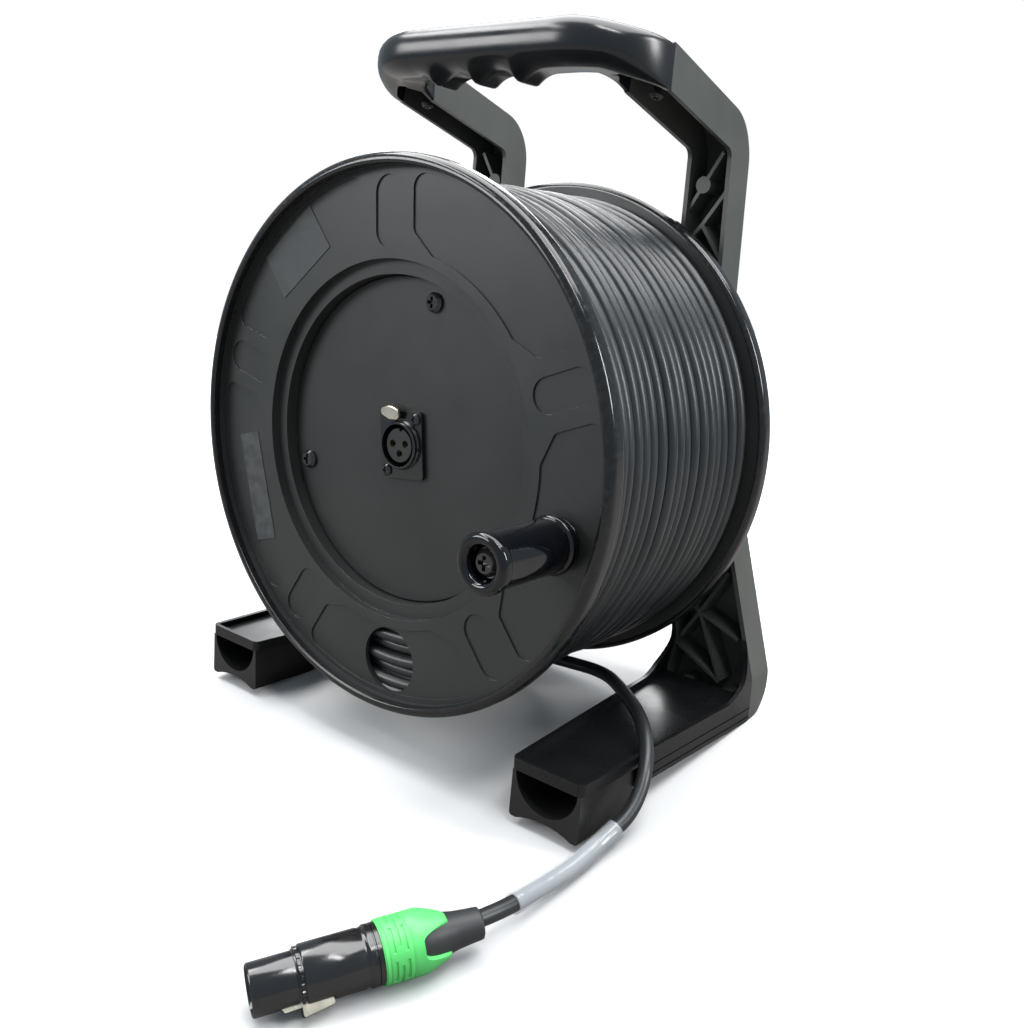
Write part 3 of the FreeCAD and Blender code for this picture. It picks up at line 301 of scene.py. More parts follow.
def clear_sleeve():
    """Flexible clear tube, slightly milky and scuffed."""
    shader = Shader("sleeve_clear", Alpha=0.27, Coat_Weight=0.9, Coat_Roughness=0.08)
    haze = shader.ramp(shader.noise(70, 3), 0.3, 0.7)
    shader.color(shader.mix_color(haze, (0.60, 0.64, 0.68), (0.72, 0.76, 0.79)))
    shader.roughness(shader.ramp(shader.noise(160, 4), 0.3, 0.7, 0.16, 0.26))
    shader.bump(shader.noise(120, 2), 0.04, 0.0001)
    shader.material.blend_method = "BLEND"
    return shader.material


def build_materials():
    """One material for each of the record's slots, and those of rims, of edges lightened as a painted highlight,
    and of deep screws darkened as painted shade.
    """
    black = (0.004, 0.0045, 0.0052)
    plain = {
        # name: dark and light colour, roughness range, grain, other sockets
        "frame_plastic": ((0.052, 0.056, 0.049), (0.070, 0.075, 0.066), (0.42, 0.54), 1900, {}),
        "foot_plastic": (black, (0.007, 0.0075, 0.008), (0.24, 0.36), 900, {"Specular_IOR_Level": 0.35}),
        "block_rubber": ((0.006, 0.006, 0.006), (0.010, 0.010, 0.010), (0.28, 0.40), 1500, {}),
        "grip_plastic": ((0.0065, 0.0078, 0.0092), (0.010, 0.0115, 0.013), (0.17, 0.27), 1300, {}),
        "panel_coated": ((0.0140, 0.0150, 0.0145), (0.0185, 0.0200, 0.0195), (0.38, 0.46), 3200, {}),
        "knob_plastic": ((0.0022, 0.0028, 0.0042), (0.0035, 0.004, 0.0055), (0.06, 0.11), 500, {}),
        "socket_shell": ((0.0035, 0.0035, 0.004), (0.006, 0.006, 0.0065), (0.13, 0.2), 800,
                         {"Specular_IOR_Level": 0.8}),
        "socket_plastic": ((0.012, 0.012, 0.012), (0.018, 0.018, 0.018), (0.4, 0.5), 2000, {}),
        "black_steel": ((0.030, 0.030, 0.032), (0.085, 0.085, 0.085), (0.14, 0.24), 1200,
                        {"Metallic": 0.75, "Specular_IOR_Level": 0.9}),
        "bush_nylon": ((0.6, 0.59, 0.55), (0.68, 0.67, 0.63), (0.35, 0.45), 900, {}),
        "boot_rubber": ((0.017, 0.0185, 0.020), (0.024, 0.026, 0.028), (0.42, 0.54), 2200, {}),
        "ring_green": ((0.085, 0.56, 0.13), (0.105, 0.63, 0.155), (0.36, 0.46), 1800, {}),
    }
    made = {name: moulded(name, dark, light, rough, grain, **sockets).material
            for name, (dark, light, rough, grain, sockets) in plain.items()}
    made["drum_plastic"] = drum_plastic()
    made["rim_gloss"] = rim_gloss()
    # lighter bevel colours than the mouldings they edge: a painted highlight along the edges
    made["drum_edge_highlight"] = painted_light_shader("drum_edge_highlight", (0.060, 0.064, 0.063), 0.18)
    made["stand_edge_highlight"] = painted_light_shader("stand_edge_highlight", (0.050, 0.052, 0.050), 0.16)
    # darker, duller steel for the screws deep in the grip's arms: painted shade
    made["painted_shade_steel"] = painted_light_shader("painted_shade_steel", (0.006, 0.006, 0.006), 0.5)
    made["zinc_steel"] = metal("zinc_steel", (0.6, 0.61, 0.63), 0.35)
    made["contact_brass"] = metal("contact_brass", (0.35, 0.26, 0.13), 0.3)
    made["latch_nickel"] = metal("latch_nickel", (0.80, 0.72, 0.57), 0.22)
    made["cable_jacket"] = cable_jacket()
    made["sleeve_clear"] = clear_sleeve()
    made["label_grey"] = label_film()
    return made


materials = build_materials()
slot_of = {s["node"]: s["material_slot"] for s in frame["record"]["subparts"]}


def dress_cad_nodes():
    """Gives every carried-over node its material; the listed ones also get soft bevelled edges and weighted
    normals.
    """
    soft_edges = {"frame_moulding": 0.7, "foot_right": 0.6, "foot_left": 0.6, "foot_block_right": 0.5,
                  "foot_block_left": 0.5, "socket_housing": 0.25, "plug_latch": 0.2,
                  "front_flange": 0.38, "rear_flange": 0.38, "connector_panel": 0.2}
    # the bevels of these nodes take the lighter edge material: a painted highlight along their edges
    edges = {"front_flange": "drum_edge_highlight", "rear_flange": "drum_edge_highlight", "connector_panel": "drum_edge_highlight",
             "foot_right": "stand_edge_highlight", "foot_left": "stand_edge_highlight", "foot_block_right": "stand_edge_highlight",
             "foot_block_left": "stand_edge_highlight", "frame_moulding": "stand_edge_highlight"}
    for name, node in frame["nodes"].items():
        node.data.materials.clear()
        # the screws deep inside the arms get a darker, duller steel: painted shade, for they sit in the arms'
        # shadow
        own = "painted_shade_steel" if name == "grip_screws" else slot_of[name]
        node.data.materials.append(materials[own])
        if name in soft_edges:
            weld = node.modifiers.new("weld", "WELD")
            weld.merge_threshold = 0.00001
            bevel = node.modifiers.new("soft_edges", "BEVEL")
            bevel.width = soft_edges[name] * MM
            bevel.segments = 2
            bevel.limit_method = "ANGLE"
            bevel.angle_limit = math.radians(40)
            if name in edges:
                node.data.materials.append(materials[edges[name]])
                bevel.material = 1
            flat = node.modifiers.new("flat_faces", "WEIGHTED_NORMAL")
            flat.weight = 100
            flat.keep_sharp = True


dress_cad_nodes()


# ---------------------------------------------------------------- rims of the drum and the crank knob
def arc(centre, radius, first, last, steps):
    """(radius, y) points on a round of a lathe profile; degrees are counted from the radial direction."""
    points = []
    for k in range(steps + 1):
        a = math.radians(first + (last - first) * k / steps)
        points.append((centre[0] + radius * math.cos(a), centre[1] + radius * math.sin(a)))
    return points


RIM_IN, RIM_OUT = 120.3, 125.2          # mm, as the rims' rounds
RIM_ROUND_IN, RIM_ROUND_OUT, RIM_ROUND_BACK = 1.2, 3.5, 2.7
RIM_STEPS = 240


def build_rims():
    """Polished beads round both flanges, a touch proud of the moulding they crown."""
    inner, outer, back = RIM_IN + RIM_ROUND_IN, RIM_OUT - RIM_ROUND_OUT, RIM_OUT - RIM_ROUND_BACK
    front = [(RIM_IN + 0.6, 3.0), (RIM_IN, 2.0), (RIM_IN, -0.6)]
    front += arc((inner, -0.65), RIM_ROUND_IN, 180, 270, 5)
    front += arc((outer, 1.65), RIM_ROUND_OUT, 270, 360, 12) + arc((back, 5.45), RIM_ROUND_BACK, 0, 90, 8)
    rear = [(RIM_IN + 0.6, 130.7), (RIM_IN, 131.5), (RIM_IN, 134.3)]
    rear += arc((inner, 134.35), RIM_ROUND_IN, 180, 90, 5)
    rear += arc((outer, 131.9), RIM_ROUND_OUT, 90, 0, 12) + arc((back, 128.55), RIM_ROUND_BACK, 0, -90, 8)
    for name, profile in (("front_rim", front), ("rear_rim", rear)):
        verts, faces = lathe(profile, RIM_STEPS)
        add_piece(name, verts, faces, materials["rim_gloss"], "drum", DRUM)


KNOB_X, KNOB_Z = 97.5, -24.0            # mm, as all of the knob's sizes
KNOB_BODY_R, KNOB_BEAD_R, KNOB_COLLAR_R = 11.4, 12.1, 12.3
KNOB_BORE_R = 4.2
KNOB_FRONT, KNOB_FOOT = -43.0, -1.85
KNOB_SEAT = 4.95                        # where the collar meets the flange
BEAD_ROUND = 2.4


def build_knob():
    """Turning sleeve with a rolled front bead, and the fixed collar at its foot."""
    bead_y = KNOB_FRONT + BEAD_ROUND
    sleeve = [(KNOB_BORE_R, -34.0), (6.7, -35.5), (6.9, -40.4)]
    sleeve += arc((9.35, bead_y), BEAD_ROUND, 180, 270, 8)
    sleeve += arc((KNOB_BEAD_R - BEAD_ROUND, bead_y), BEAD_ROUND, 270, 360, 10)
    sleeve += [(KNOB_BEAD_R, -39.2)] + arc((KNOB_BEAD_R - 0.6, -38.6), 0.6, 0, 70, 3)
    sleeve += [(KNOB_BODY_R + 0.05, -37.7), (KNOB_BODY_R, -37.2), (KNOB_BODY_R, -28)]
    sleeve += [(KNOB_BODY_R - 0.1, -15), (KNOB_BODY_R, -3.0), (KNOB_BODY_R - 0.3, KNOB_FOOT)]
    sleeve += [(KNOB_BORE_R, KNOB_FOOT)]
    collar = [(KNOB_BORE_R, -1.5)] + arc((KNOB_COLLAR_R - 2.1, 0.75), 2.3, 275, 430, 14)
    collar += [(10.4, 3.6), (10.4, 4.4), (10.8, KNOB_SEAT), (KNOB_BORE_R, KNOB_SEAT)]
    place = DRUM @ Matrix.Translation((KNOB_X, 0, KNOB_Z))
    for name, profile, body, node in (("knob_grip", sleeve, "crank_knob", "knob_sleeve"),
                                      ("knob_collar", collar, "drum", "knob_base")):
        verts, faces = lathe(profile, 96)
        add_piece(name, verts, faces, materials["knob_plastic"], body, place, [node])


build_rims()
build_knob()


# ---------------------------------------------------------------- the winding
CABLE_R = 3.25              # mm, as all of the winding's sizes
LAYER_STEP = 5.63           # layers nest in the grooves of the one below
OUTER_R = 115.25            # centre line of the outermost layer
FIRST_TURN, LAST_TURN = 11.6, 122.2
TURNS = 16
HALF_PITCH = 3.4            # a layer's turns lie half a pitch beside those under them
LAYERS_IN_WINDOW = 6
STEPS_PER_TURN = 96
COIL_SIDES = 16


def on_drum(radius, degrees, y):
    a = math.radians(degrees)
    return Vector((radius * math.cos(a), y, radius * math.sin(a)))


def unevenness(seed, degrees, size):
    """Smooth wobble that closes on itself round the drum."""
    a = math.radians(degrees)
    return size * noise.noise(Vector((2 * math.cos(a), 2 * math.sin(a), seed)))


def helix(radius, first, last, turns, start_angle, seed, wobble):
    """Turns side by side across the drum; pitch, height and lay vary a little from turn to turn."""
    path = []
    count = round(turns * STEPS_PER_TURN)
    for i in range(count + 1):
        turn = i / STEPS_PER_TURN
        degrees = start_angle + 360 * turn
        lay = wobble * noise.noise(Vector((turn * 1.3, seed, 0.5)))
        lay += unevenness(seed + 0.3 * turn, degrees, 0.45)
        height = unevenness(seed + 7 + 0.8 * turn, degrees, 0.7)
        sunk = 1.3 * math.sin(2.4 * turn + seed) ** 2
        y = first + (last - first) * i / count + lay
        path.append(on_drum(radius + height - sunk, degrees, y))
    return path


def build_winding():
    """The outer layer and the one below it as helices, the turns behind the window, and a core."""
    skins = []
    outer = helix(OUTER_R, FIRST_TURN, LAST_TURN, TURNS, 140, 3.0, 1.4)
    skins.append(loft(tube_rings(outer, CABLE_R, COIL_SIDES)))
    below = helix(OUTER_R - LAYER_STEP, FIRST_TURN + HALF_PITCH, LAST_TURN - 1.5, TURNS, 20, 9.0, 0.3)
    skins.append(loft(tube_rings(below, CABLE_R, 8)))
    # the two front turns of each layer, seen through the flange's window
    for layer in range(LAYERS_IN_WINDOW):
        radius = OUTER_R - LAYER_STEP * layer
        front = FIRST_TURN + HALF_PITCH * (layer % 2)
        for seed, y in ((layer + 2, front), (layer + 3, front + 2 * HALF_PITCH)):
            ring = []
            for degrees in range(0, 360, 4):
                height = unevenness(seed, degrees, 0.8)
                lay = unevenness(seed + 2 * layer, degrees, 1.2)
                ring.append(on_drum(radius + height, degrees, y + lay))
            skins.append(loft(tube_rings(ring, CABLE_R, COIL_SIDES, closed=True), closed=True))
    core = [(84.0, 8.6), (97.0, 12.5), (107.5, 14.0), (107.5, 119.0), (84.0, 124.0)]
    skins.append(lathe(core, 96))
    verts, faces = joined(*skins)
    add_piece("cable_turns", verts, faces, materials["cable_jacket"], "drum",
              DRUM, ["cable_winding"], sharp=80)


build_winding()


# ---------------------------------------------------------------- the free lead
LEAD_DIAMETER = 0.0065
LEAD = [
    (0.0020, 0.0250, 0.0171), (0.0360, 0.0273, 0.0183), (0.0640, 0.0242, 0.0222),
    (0.0860, 0.0070, 0.0275), (0.1145, -0.0190, 0.0325), (0.1290, -0.0370, 0.0255),
    (0.1335, -0.0540, 0.0118), (0.1305, -0.0730, 0.0062), (0.1301, -0.0911, 0.0047),
    (0.1291, -0.1101, 0.0062), (0.1279, -0.1295, 0.0090), (0.1263, -0.1411, 0.0108),
    (0.1237, -0.1509, 0.0118),
]


def nurbs_curve(name, points):
    """Open NURBS spline of order 3 with the points as its control points."""
    curve = bpy.data.curves.new(name, "CURVE")
    curve.dimensions = "3D"
    curve.resolution_u = 12
    spline = curve.splines.new("NURBS")
    spline.points.add(len(points) - 1)
    for target, point in zip(spline.points, points):
        target.co = (*point, 1.0)
    spline.order_u = 3
    spline.use_endpoint_u = True
    return curve


def spline_points(points):
    """The smooth line itself, as points along the curve when it has no bevel."""
    probe = bpy.data.objects.new("probe", nurbs_curve("probe", points))
    mesh = bpy.data.meshes.new_from_object(probe)
    line = [v.co.copy() for v in mesh.vertices]
    bpy.data.objects.remove(probe)
    bpy.data.meshes.remove(mesh)
    return line


def run_lengths(line):
    lengths = [0.0]
    for a, b in zip(line, line[1:]):
        lengths.append(lengths[-1] + (b - a).length)
    return lengths


def along(line, lengths, distance):
    """Point of the line at a distance from its start."""
    for i in range(1, len(line)):
        if lengths[i] >= distance:
            part = (distance - lengths[i - 1]) / (lengths[i] - lengths[i - 1])
            return line[i - 1].lerp(line[i], part)
    return line[-1].copy()


def build_lead():
    curve = nurbs_curve("lead", LEAD)
    curve.bevel_depth = LEAD_DIAMETER / 2
    curve.bevel_resolution = 6
    curve.use_fill_caps = True
    curve.materials.append(materials["cable_jacket"])
    lead = bpy.data.objects.new("lead", curve)
    bpy.context.scene.collection.objects.link(lead)
    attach(lead, "stand")
    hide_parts("lead_cable")
    return lead


SLEEVE_FROM_MOUTH, SLEEVE_LENGTH = 0.0225, 0.064
SLEEVE_OUTER, SLEEVE_INNER = 0.0042, 0.0036


def build_sleeve(line):
    """Clear tube on the lead, with a wall, open cut ends and slight waves where it kinks."""
    lengths = run_lengths(line)
    start = lengths[-1] - SLEEVE_FROM_MOUTH - SLEEVE_LENGTH
    steps = 60
    path = [along(line, lengths, start + SLEEVE_LENGTH * i / steps) for i in range(steps + 1)]
    outer = tube_rings(path, lambda i: SLEEVE_OUTER + 0.00012 * noise.noise(Vector((i * 0.31, 2, 0))), 32)
    inner = tube_rings(path, SLEEVE_INNER, 32)
    verts, faces = loft(outer + inner[::-1], closed=True)
    return add_piece("clear_sleeve", verts, faces, materials["sleeve_clear"], "stand",
                     replaces=["lead_sleeve"])


# ---------------------------------------------------------------- the plug on the lead
PLUG_LENGTH = 82.4          # mm from the boot's mouth to the nose
NOSE = Vector(mounts["lead_plug"]["pos_m"])
PLUG_AXIS = Vector(mounts["lead_plug"]["axis"]).normalized()
LATCH_AXIS = Vector(joints["plug_latch_press"]["axis"]).normalized()
# the plug frame: Y from the boot's mouth to the nose, Z away from the latch
PLUG = placed_axes(NOSE - PLUG_AXIS * PLUG_LENGTH * MM, PLUG_AXIS.cross(LATCH_AXIS), PLUG_AXIS, LATCH_AXIS)
LOBE_TIP, LOBE_VALLEY = 13.0, 23.5
LOBES = 3
LOBE_TURN = math.radians(142)
RING_REAR, RING_SHOULDER, RING_R = 38.0, 27.5, 11.3
BOOT_PROFILE = [(0.7, 5.75), (5, 6.1), (10, 6.65), (14, 7.45), (18, 8.5), (22, 9.35), (26, 9.7), (30, 9.8)]


def boot_radius(y):
    """Outside of the rubber boot in mm, from its mouth to the ring."""
    for (y0, r0), (y1, r1) in zip(BOOT_PROFILE, BOOT_PROFILE[1:]):
        if y <= y1:
            return r0 + (r1 - r0) * (y - y0) / (y1 - y0)
    return BOOT_PROFILE[-1][1]


def ring_edge(angle):
    """How far the green ring reaches towards the mouth: three lobes with round valleys."""
    wave = 0.5 + 0.5 * math.cos(LOBES * (angle - LOBE_TURN))
    return LOBE_VALLEY + (LOBE_TIP - LOBE_VALLEY) * smoothstep(1.2 * wave - 0.1)


def ring_surface(y):
    """Outside of the green ring in mm."""
    return min(boot_radius(y) + 1.15 + 0.9 * smoothstep((y - 13) / 14), RING_R)


def groove_depth(angle, y):
    """Depth of the hooked grooves moulded in pairs round the ring's cylinder."""
    sector = (math.degrees(angle - LOBE_TURN) + 60) % 120 / 120
    hooks = ((30.0, 0.06, 0.44), (32.2, 0.14, 0.50), (34.4, 0.06, 0.44),
             (30.0, 0.56, 0.94), (32.2, 0.50, 0.86), (34.4, 0.56, 0.94))
    for at, first, last in hooks:
        if abs(y - at) < 0.45 and first < sector < last:
            return 0.45
    return 0.0


def build_plug_ring():
    """Green sleeve over the boot, with fingers towards the cable and moulded grooves."""
    steps = 240
    fingers = (0.0, 0.012, 0.04, 0.09, 0.17, 0.27, 0.38, 0.5, 0.64, 0.8, 1.0)
    shoulder = [28.0, 28.2] + [28.6 + 0.2 * i for i in range(36)] + [36.0, 36.3, 37.4, 37.8, RING_REAR]
    rows = []
    for part in fingers:
        row = []
        for k in range(steps):
            angle = 2 * math.pi * k / steps
            edge = ring_edge(angle)
            y = edge + (RING_SHOULDER - edge) * part
            rounding = 1.0 - min(part / 0.09, 1.0)
            radius = ring_surface(y) - (ring_surface(y) - boot_radius(y) + 0.15) * rounding ** 2
            row.append(Vector((radius * math.cos(angle), y, radius * math.sin(angle))))
        rows.append(row)
    for y in shoulder:
        row = []
        for k in range(steps):
            angle = 2 * math.pi * k / steps
            radius = RING_R - groove_depth(angle, y)
            if y < 28.5 or 36.0 < y < 36.4:
                radius -= 0.25
            if y > 37.7:
                radius -= 0.4
            row.append(Vector((radius * math.cos(angle), y, radius * math.sin(angle))))
        rows.append(row)
    rows.append([Vector((9.9 * math.cos(2 * math.pi * k / steps), RING_REAR,
                         9.9 * math.sin(2 * math.pi * k / steps))) for k in range(steps)])
    verts, faces = loft(rows, capped=False)
    return add_piece("green_ring", verts, faces, materials["ring_green"], "stand", PLUG,
                     ["plug_ring"])


def build_plug_boot():
    profile = [(3.35, 4.0), (3.5, 0.5), (4.2, 0.0), (5.2, 0.0), (5.7, 0.35)]
    profile += [(boot_radius(y), y) for y in range(1, 31)]
    profile += [(8.0, 30.5), (3.35, 30.5)]
    verts, faces = lathe(profile, 72)
    return add_piece("boot", verts, faces, materials["boot_rubber"], "stand", PLUG,
                     ["plug_boot"])


NOTCHES = 24                # round the plug's seam ring
LATCH_SLOT = ((3.8, 55.4, 67.2), (2.2, 66.0, 74.6))     # mm: half width, start and end of each step
SLOT_DEPTH = (-13.0, -6.5)


def cut_slot(shell, half_width, first, last):
    """Cuts a straight opening on the latch's side of the plug's shell."""
    corners = [(x, y, z) for x in (-half_width, half_width) for y in (first, last) for z in SLOT_DEPTH]
    sides = [(0, 1, 3, 2), (4, 6, 7, 5), (0, 4, 5, 1), (2, 3, 7, 6), (0, 2, 6, 4), (1, 5, 7, 3)]
    block = bpy.data.meshes.new("slot_block")
    block.from_pydata([PLUG @ Vector(c) for c in corners], [], sides)
    cutter = bpy.data.objects.new("slot_block", block)
    bpy.context.scene.collection.objects.link(cutter)
    boolean = shell.modifiers.new("slot", "BOOLEAN")
    boolean.operation = "DIFFERENCE"
    boolean.object = cutter
    boolean.solver = "EXACT"
    depsgraph = bpy.context.evaluated_depsgraph_get()
    cut = bpy.data.meshes.new_from_object(shell.evaluated_get(depsgraph))
    shell.modifiers.remove(boolean)
    shell.data = cut
    bpy.data.objects.remove(cutter)


def build_plug_shell():
    """Turned metal shell: ribbed collar, body, notched seam ring and nose."""
    collar = [(9.6, 37.9), (10.3, 37.9), (10.55, 38.2), (10.55, 39.6), (10.2, 39.8), (10.2, 40.2),
              (10.55, 40.4), (10.55, 42.0), (10.25, 42.3), (9.95, 43.2), (9.95, 44.0)]
    body = [(10.2, 44.6), (10.2, 64.2), (9.9, 64.7)]
    seam = [(9.3, 64.8), (9.3, 65.1), (9.9, 65.3), (9.9, 66.2), (9.2, 66.4), (9.1, 66.9)]
    nose = [(8.8, 67.1), (8.8, 81.7), (8.6, 82.2), (8.3, 82.4), (8.0, 82.3), (7.9, 81.9), (7.9, 78.0),
            (7.0, 78.0)]
    profile = collar + body + seam + nose

    def notched(angle, radius, y):
        """Coin-edge notches on the seam ring."""
        if 65.2 < y < 66.3 and math.sin(NOTCHES * angle) > 0.55:
            return radius - 0.35, y
        return radius, y

    verts, faces = lathe(profile, 192, notched)
    shell = add_piece("plug_body", verts, faces, materials["socket_shell"], "stand", PLUG,
                      ["plug_shell"], sharp=35)
    for half_width, first, last in LATCH_SLOT:
        cut_slot(shell, half_width, first, last)
    return shell


def build_lead_pieces():
    line = spline_points(LEAD)
    sleeve = build_sleeve(line)
    ring = build_plug_ring()
    boot = build_plug_boot()
    shell = build_plug_shell()
    build_lead()


build_lead_pieces()


# ---------------------------------------------------------------- the last, loose part of the wound cable
LEAVES_AT = 130             # degrees round the drum where it climbs out of the winding
CLIMB = 6.0                 # mm
CLIMB_SHARE = 0.12          # of its length


def build_last_turn():
    """Climbs out of the outer layer on the far side and runs round to the lead's start."""
    start = DRUM.inverted() @ Vector(LEAD[0])
    end_r = math.hypot(start.x, start.z)
    end_angle = 360 + math.degrees(math.atan2(start.z, start.x))
    path = []
    steps = 60
    for i in range(steps + 1):
        t = i / steps
        degrees = LEAVES_AT + (end_angle - LEAVES_AT) * t
        r = OUTER_R - CLIMB + (end_r - OUTER_R + CLIMB) * smoothstep(t / CLIMB_SHARE)
        y = LAST_TURN + (start.y - LAST_TURN) * smoothstep((t - 0.2) / 0.8)
        path.append(on_drum(r, degrees, y))
    verts, faces = loft(tube_rings(path, CABLE_R, COIL_SIDES))
    add_piece("last_turn", verts, faces, materials["cable_jacket"], "stand", DRUM)


build_last_turn()


# ---------------------------------------------------------------- the carry grip
GRIP_SEAM = 84.0            # mm, in the drum frame: where the grip meets the frame's arms
ARM_CENTRE_X = 69.0
BAR_CENTRE_Y = 58.0
CORNER_R = 27.0             # centre line of the bar's corners
ARM_BOTTOM, ARM_TOP = 159.3, 178.4
BAR_BOTTOM, BAR_TOP = 165.2, 185.7
ARM_RISE = math.tan(math.radians(15.6))
FINGER_PITCH, GROOVE_R = 24.4, 16.0
FINGER_SHIFT = 3.5          # the finger grooves sit a little to one side of the middle
GROOVE_FADE = 4.5           # the grooves fade out up the grip's sides
RECESS_DEPTH = 7.0


def grip_plan():
    """(x, y, heading in degrees) along the grip's centre line, from one seam to the other."""
    corner_steps, bar_steps = 26, 100
    cx, cy = -ARM_CENTRE_X + CORNER_R, BAR_CENTRE_Y + CORNER_R
    plan = [(-ARM_CENTRE_X, GRIP_SEAM, -90.0), (-ARM_CENTRE_X, GRIP_SEAM - 0.4, -90.0)]
    for i in range(corner_steps + 1):
        a = math.radians(180 + 90 * i / corner_steps)
        if cy + CORNER_R * math.sin(a) < GRIP_SEAM - 0.4:
            plan.append((cx + CORNER_R * math.cos(a), cy + CORNER_R * math.sin(a),
                         -90 + 90 * i / corner_steps))
    left = plan[:]
    for i in range(1, bar_steps):
        plan.append((cx - 2 * cx * i / bar_steps, BAR_CENTRE_Y, 0.0))
    return plan + [(-x, y, -heading) for x, y, heading in reversed(left)]


def finger_drop(x):
    """How far the grip's underside hangs below the tops of the finger grooves."""
    x += FINGER_SHIFT
    if abs(x) > 1.5 * FINGER_PITCH:
        return 0.0
    from_crest = abs((x / FINGER_PITCH + 0.5) % 1.0 - 0.5) * FINGER_PITCH
    offset = FINGER_PITCH / 2 - max(from_crest, 0.7)
    return GROOVE_R - math.sqrt(GROOVE_R ** 2 - offset ** 2)


def corner_arc(across, up, radius_across, radius_up, first, count=7):
    """Points on a quarter round of the grip's section."""
    points = []
    for k in range(count):
        a = math.radians(first + 90 * k / (count - 1))
        points.append((across + radius_across * math.cos(a), up + radius_up * math.sin(a)))
    return points


def grip_section(half, bottom, top, bar, recess):
    """(across, up) round the grip, from the outer bottom corner over the top, then along the underside.

    Across is measured away from the drum's middle. Bar grows from 0 at an arm's seam to 1 along the
    bar, and recess from 0 for a plain underside to 1 for the full hollow.
    """
    r_top, r_inner = 2.2 + 7.0 * bar, 1.0 + 3.0 * bar
    outer_across, outer_up = 1.0 + 12.0 * bar, 0.8 + 7.2 * bar
    points = corner_arc(half - outer_across, bottom + outer_up, outer_across, outer_up, -90)
    points += corner_arc(half - r_top, top - r_top, r_top, r_top, 0)
    points += corner_arc(-half + r_top, top - r_top, r_top, r_top, 90)
    points += corner_arc(-half + r_inner, bottom + r_inner, r_inner, r_inner, 180)
    flat_in, flat_out = -half + r_inner, half - outer_across
    wall = 1.6
    mouth_in = flat_in + wall * min(recess, 1) + (flat_out - flat_in - 2 * wall) * (1 - recess) ** 2
    mouth_out = flat_out - wall * min(recess, 1)
    span = mouth_out - mouth_in
    depth = RECESS_DEPTH * recess
    points += [(mouth_in, bottom), (mouth_in + 0.02 * span, bottom + depth * 0.5)]
    points += [(mouth_in + span * (0.05 + 0.9 * k / 6), bottom + depth) for k in range(7)]
    points += [(mouth_out - 0.02 * span, bottom + depth * 0.5), (mouth_out, bottom)]
    return points


def build_grip():
    rings = []
    seam_to_bar = GRIP_SEAM - BAR_CENTRE_Y
    for x, y, heading in grip_plan():
        forward = (GRIP_SEAM - y) / seam_to_bar
        bar = smoothstep(1.15 * forward)
        rise = (GRIP_SEAM - y) * ARM_RISE
        top = min(ARM_TOP + rise, BAR_TOP)
        bottom = min(ARM_BOTTOM + rise, BAR_BOTTOM)
        half = 12.0 + 1.0 * bar
        recess = smoothstep((0.62 - forward) / 0.3)
        a = math.radians(heading)
        out_x, out_y = math.sin(a), -math.cos(a)
        ring = []
        for across, up in grip_section(half, bottom, top, bar, recess):
            if up < bottom + GROOVE_FADE:
                low = 1 - max(up - bottom, 0) / GROOVE_FADE
                up -= finger_drop(x) * smoothstep(low)
            ring.append(Vector((x + across * out_x, y + across * out_y, up)))
        rings.append(ring)
    verts, faces = loft(rings)
    add_piece("carry_grip", verts, faces, materials["grip_plastic"], "stand", DRUM,
              ["grip"], sharp=42)


build_grip()


# ---------------------------------------------------------------- studio
def area_light(name, location, target, size, power, color=(1, 1, 1)):
    light = bpy.data.lights.new(name, "AREA")
    light.shape = "RECTANGLE"
    light.size, light.size_y = size
    light.energy = power
    light.color = color
    obj = bpy.data.objects.new(name, light)
    obj.location = location
    obj.rotation_euler = (Vector(target) - Vector(location)).to_track_quat("-Z", "Y").to_euler()
    bpy.context.scene.collection.objects.link(obj)


FLOOR_R, FLOOR_SIDES = 1.25, 96
LAMPS_X = (0.42, 0.66, 0.90)


def seen_or_reflected(tree, seen, reflected):
    """Colour socket that is pale to the eye and dimmer as a source of bounced light."""
    rays = tree.nodes.new("ShaderNodeLightPath")
    shade = tree.nodes.new("ShaderNodeMix")
    shade.data_type = "RGBA"
    shade.inputs[6].default_value = (*reflected, 1.0)
    shade.inputs[7].default_value = (*seen, 1.0)
    tree.links.new(rays.outputs["Is Camera Ray"], shade.inputs["Factor"])
    return shade.outputs[2]


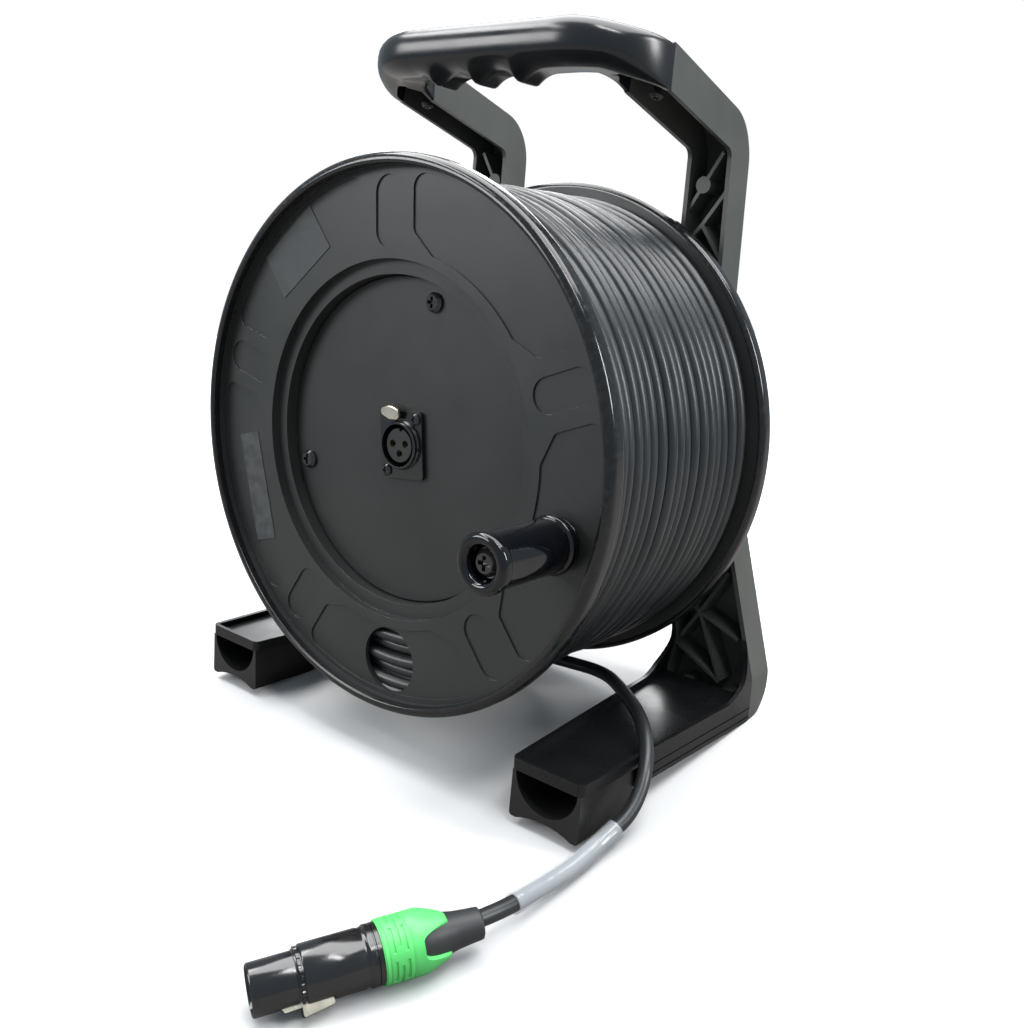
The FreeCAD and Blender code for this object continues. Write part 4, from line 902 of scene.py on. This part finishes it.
def build_studio():
    floor_mesh = bpy.data.meshes.new("floor")
    angles = [2 * math.pi * k / FLOOR_SIDES for k in range(FLOOR_SIDES)]
    ring = [(FLOOR_R * math.cos(a), FLOOR_R * math.sin(a), 0) for a in angles]
    floor_mesh.from_pydata(ring, [], [tuple(range(FLOOR_SIDES))])
    floor = bpy.data.objects.new("floor", floor_mesh)
    bpy.context.scene.collection.objects.link(floor)
    paper = Shader("studio_paper", Roughness=0.9)
    paper.color(seen_or_reflected(paper.tree, (0.62, 0.62, 0.62), (0.20, 0.19, 0.18)))
    floor_mesh.materials.append(paper.material)

    middle = (0, 0, 0.15)
    area_light("ceiling", (-0.1, 0.45, 1.55), middle, (2.2, 1.5), 66)
    area_light("ceiling_strip", (-0.9, -0.5, 1.5), middle, (1.4, 0.25), 12)
    area_light("left_window", (-1.3, -1.6, 1.05), middle, (1.2, 0.7), 24)
    area_light("right_window", (1.7, 0.7, 0.95), middle, (0.30, 0.8), 19)
    for x in LAMPS_X:
        area_light("lamp", (x, -0.30, 1.5), middle, (0.10, 0.34), 2.4)
    area_light("back_window", (-1.4, 2.0, 0.9), middle, (1.6, 0.8), 26)

    world = bpy.data.worlds.new("studio")
    world.use_nodes = True
    surroundings = seen_or_reflected(world.node_tree, (1.0, 1.0, 1.0), (0.36, 0.42, 0.48))
    world.node_tree.links.new(surroundings, world.node_tree.nodes["Background"].inputs["Color"])
    bpy.context.scene.world = world
    bpy.context.scene.view_settings.view_transform = "Standard"


CAMERA_AT = (0.32814, -0.37661, 0.27292)
CAMERA_HEADING, CAMERA_PITCH = 39.02, -19.05        # degrees, from +Y towards -X, and below the horizon
CAMERA_LENS, CAMERA_SENSOR = 36.31, 36.0


def build_camera():
    data = bpy.data.cameras.new("camera")
    data.lens = CAMERA_LENS
    data.sensor_width = CAMERA_SENSOR
    camera = bpy.data.objects.new("camera", data)
    camera.location = CAMERA_AT
    camera.rotation_euler = (math.radians(90 + CAMERA_PITCH), 0, math.radians(CAMERA_HEADING))
    bpy.context.scene.collection.objects.link(camera)
    bpy.context.scene.camera = camera


build_studio()
build_camera()
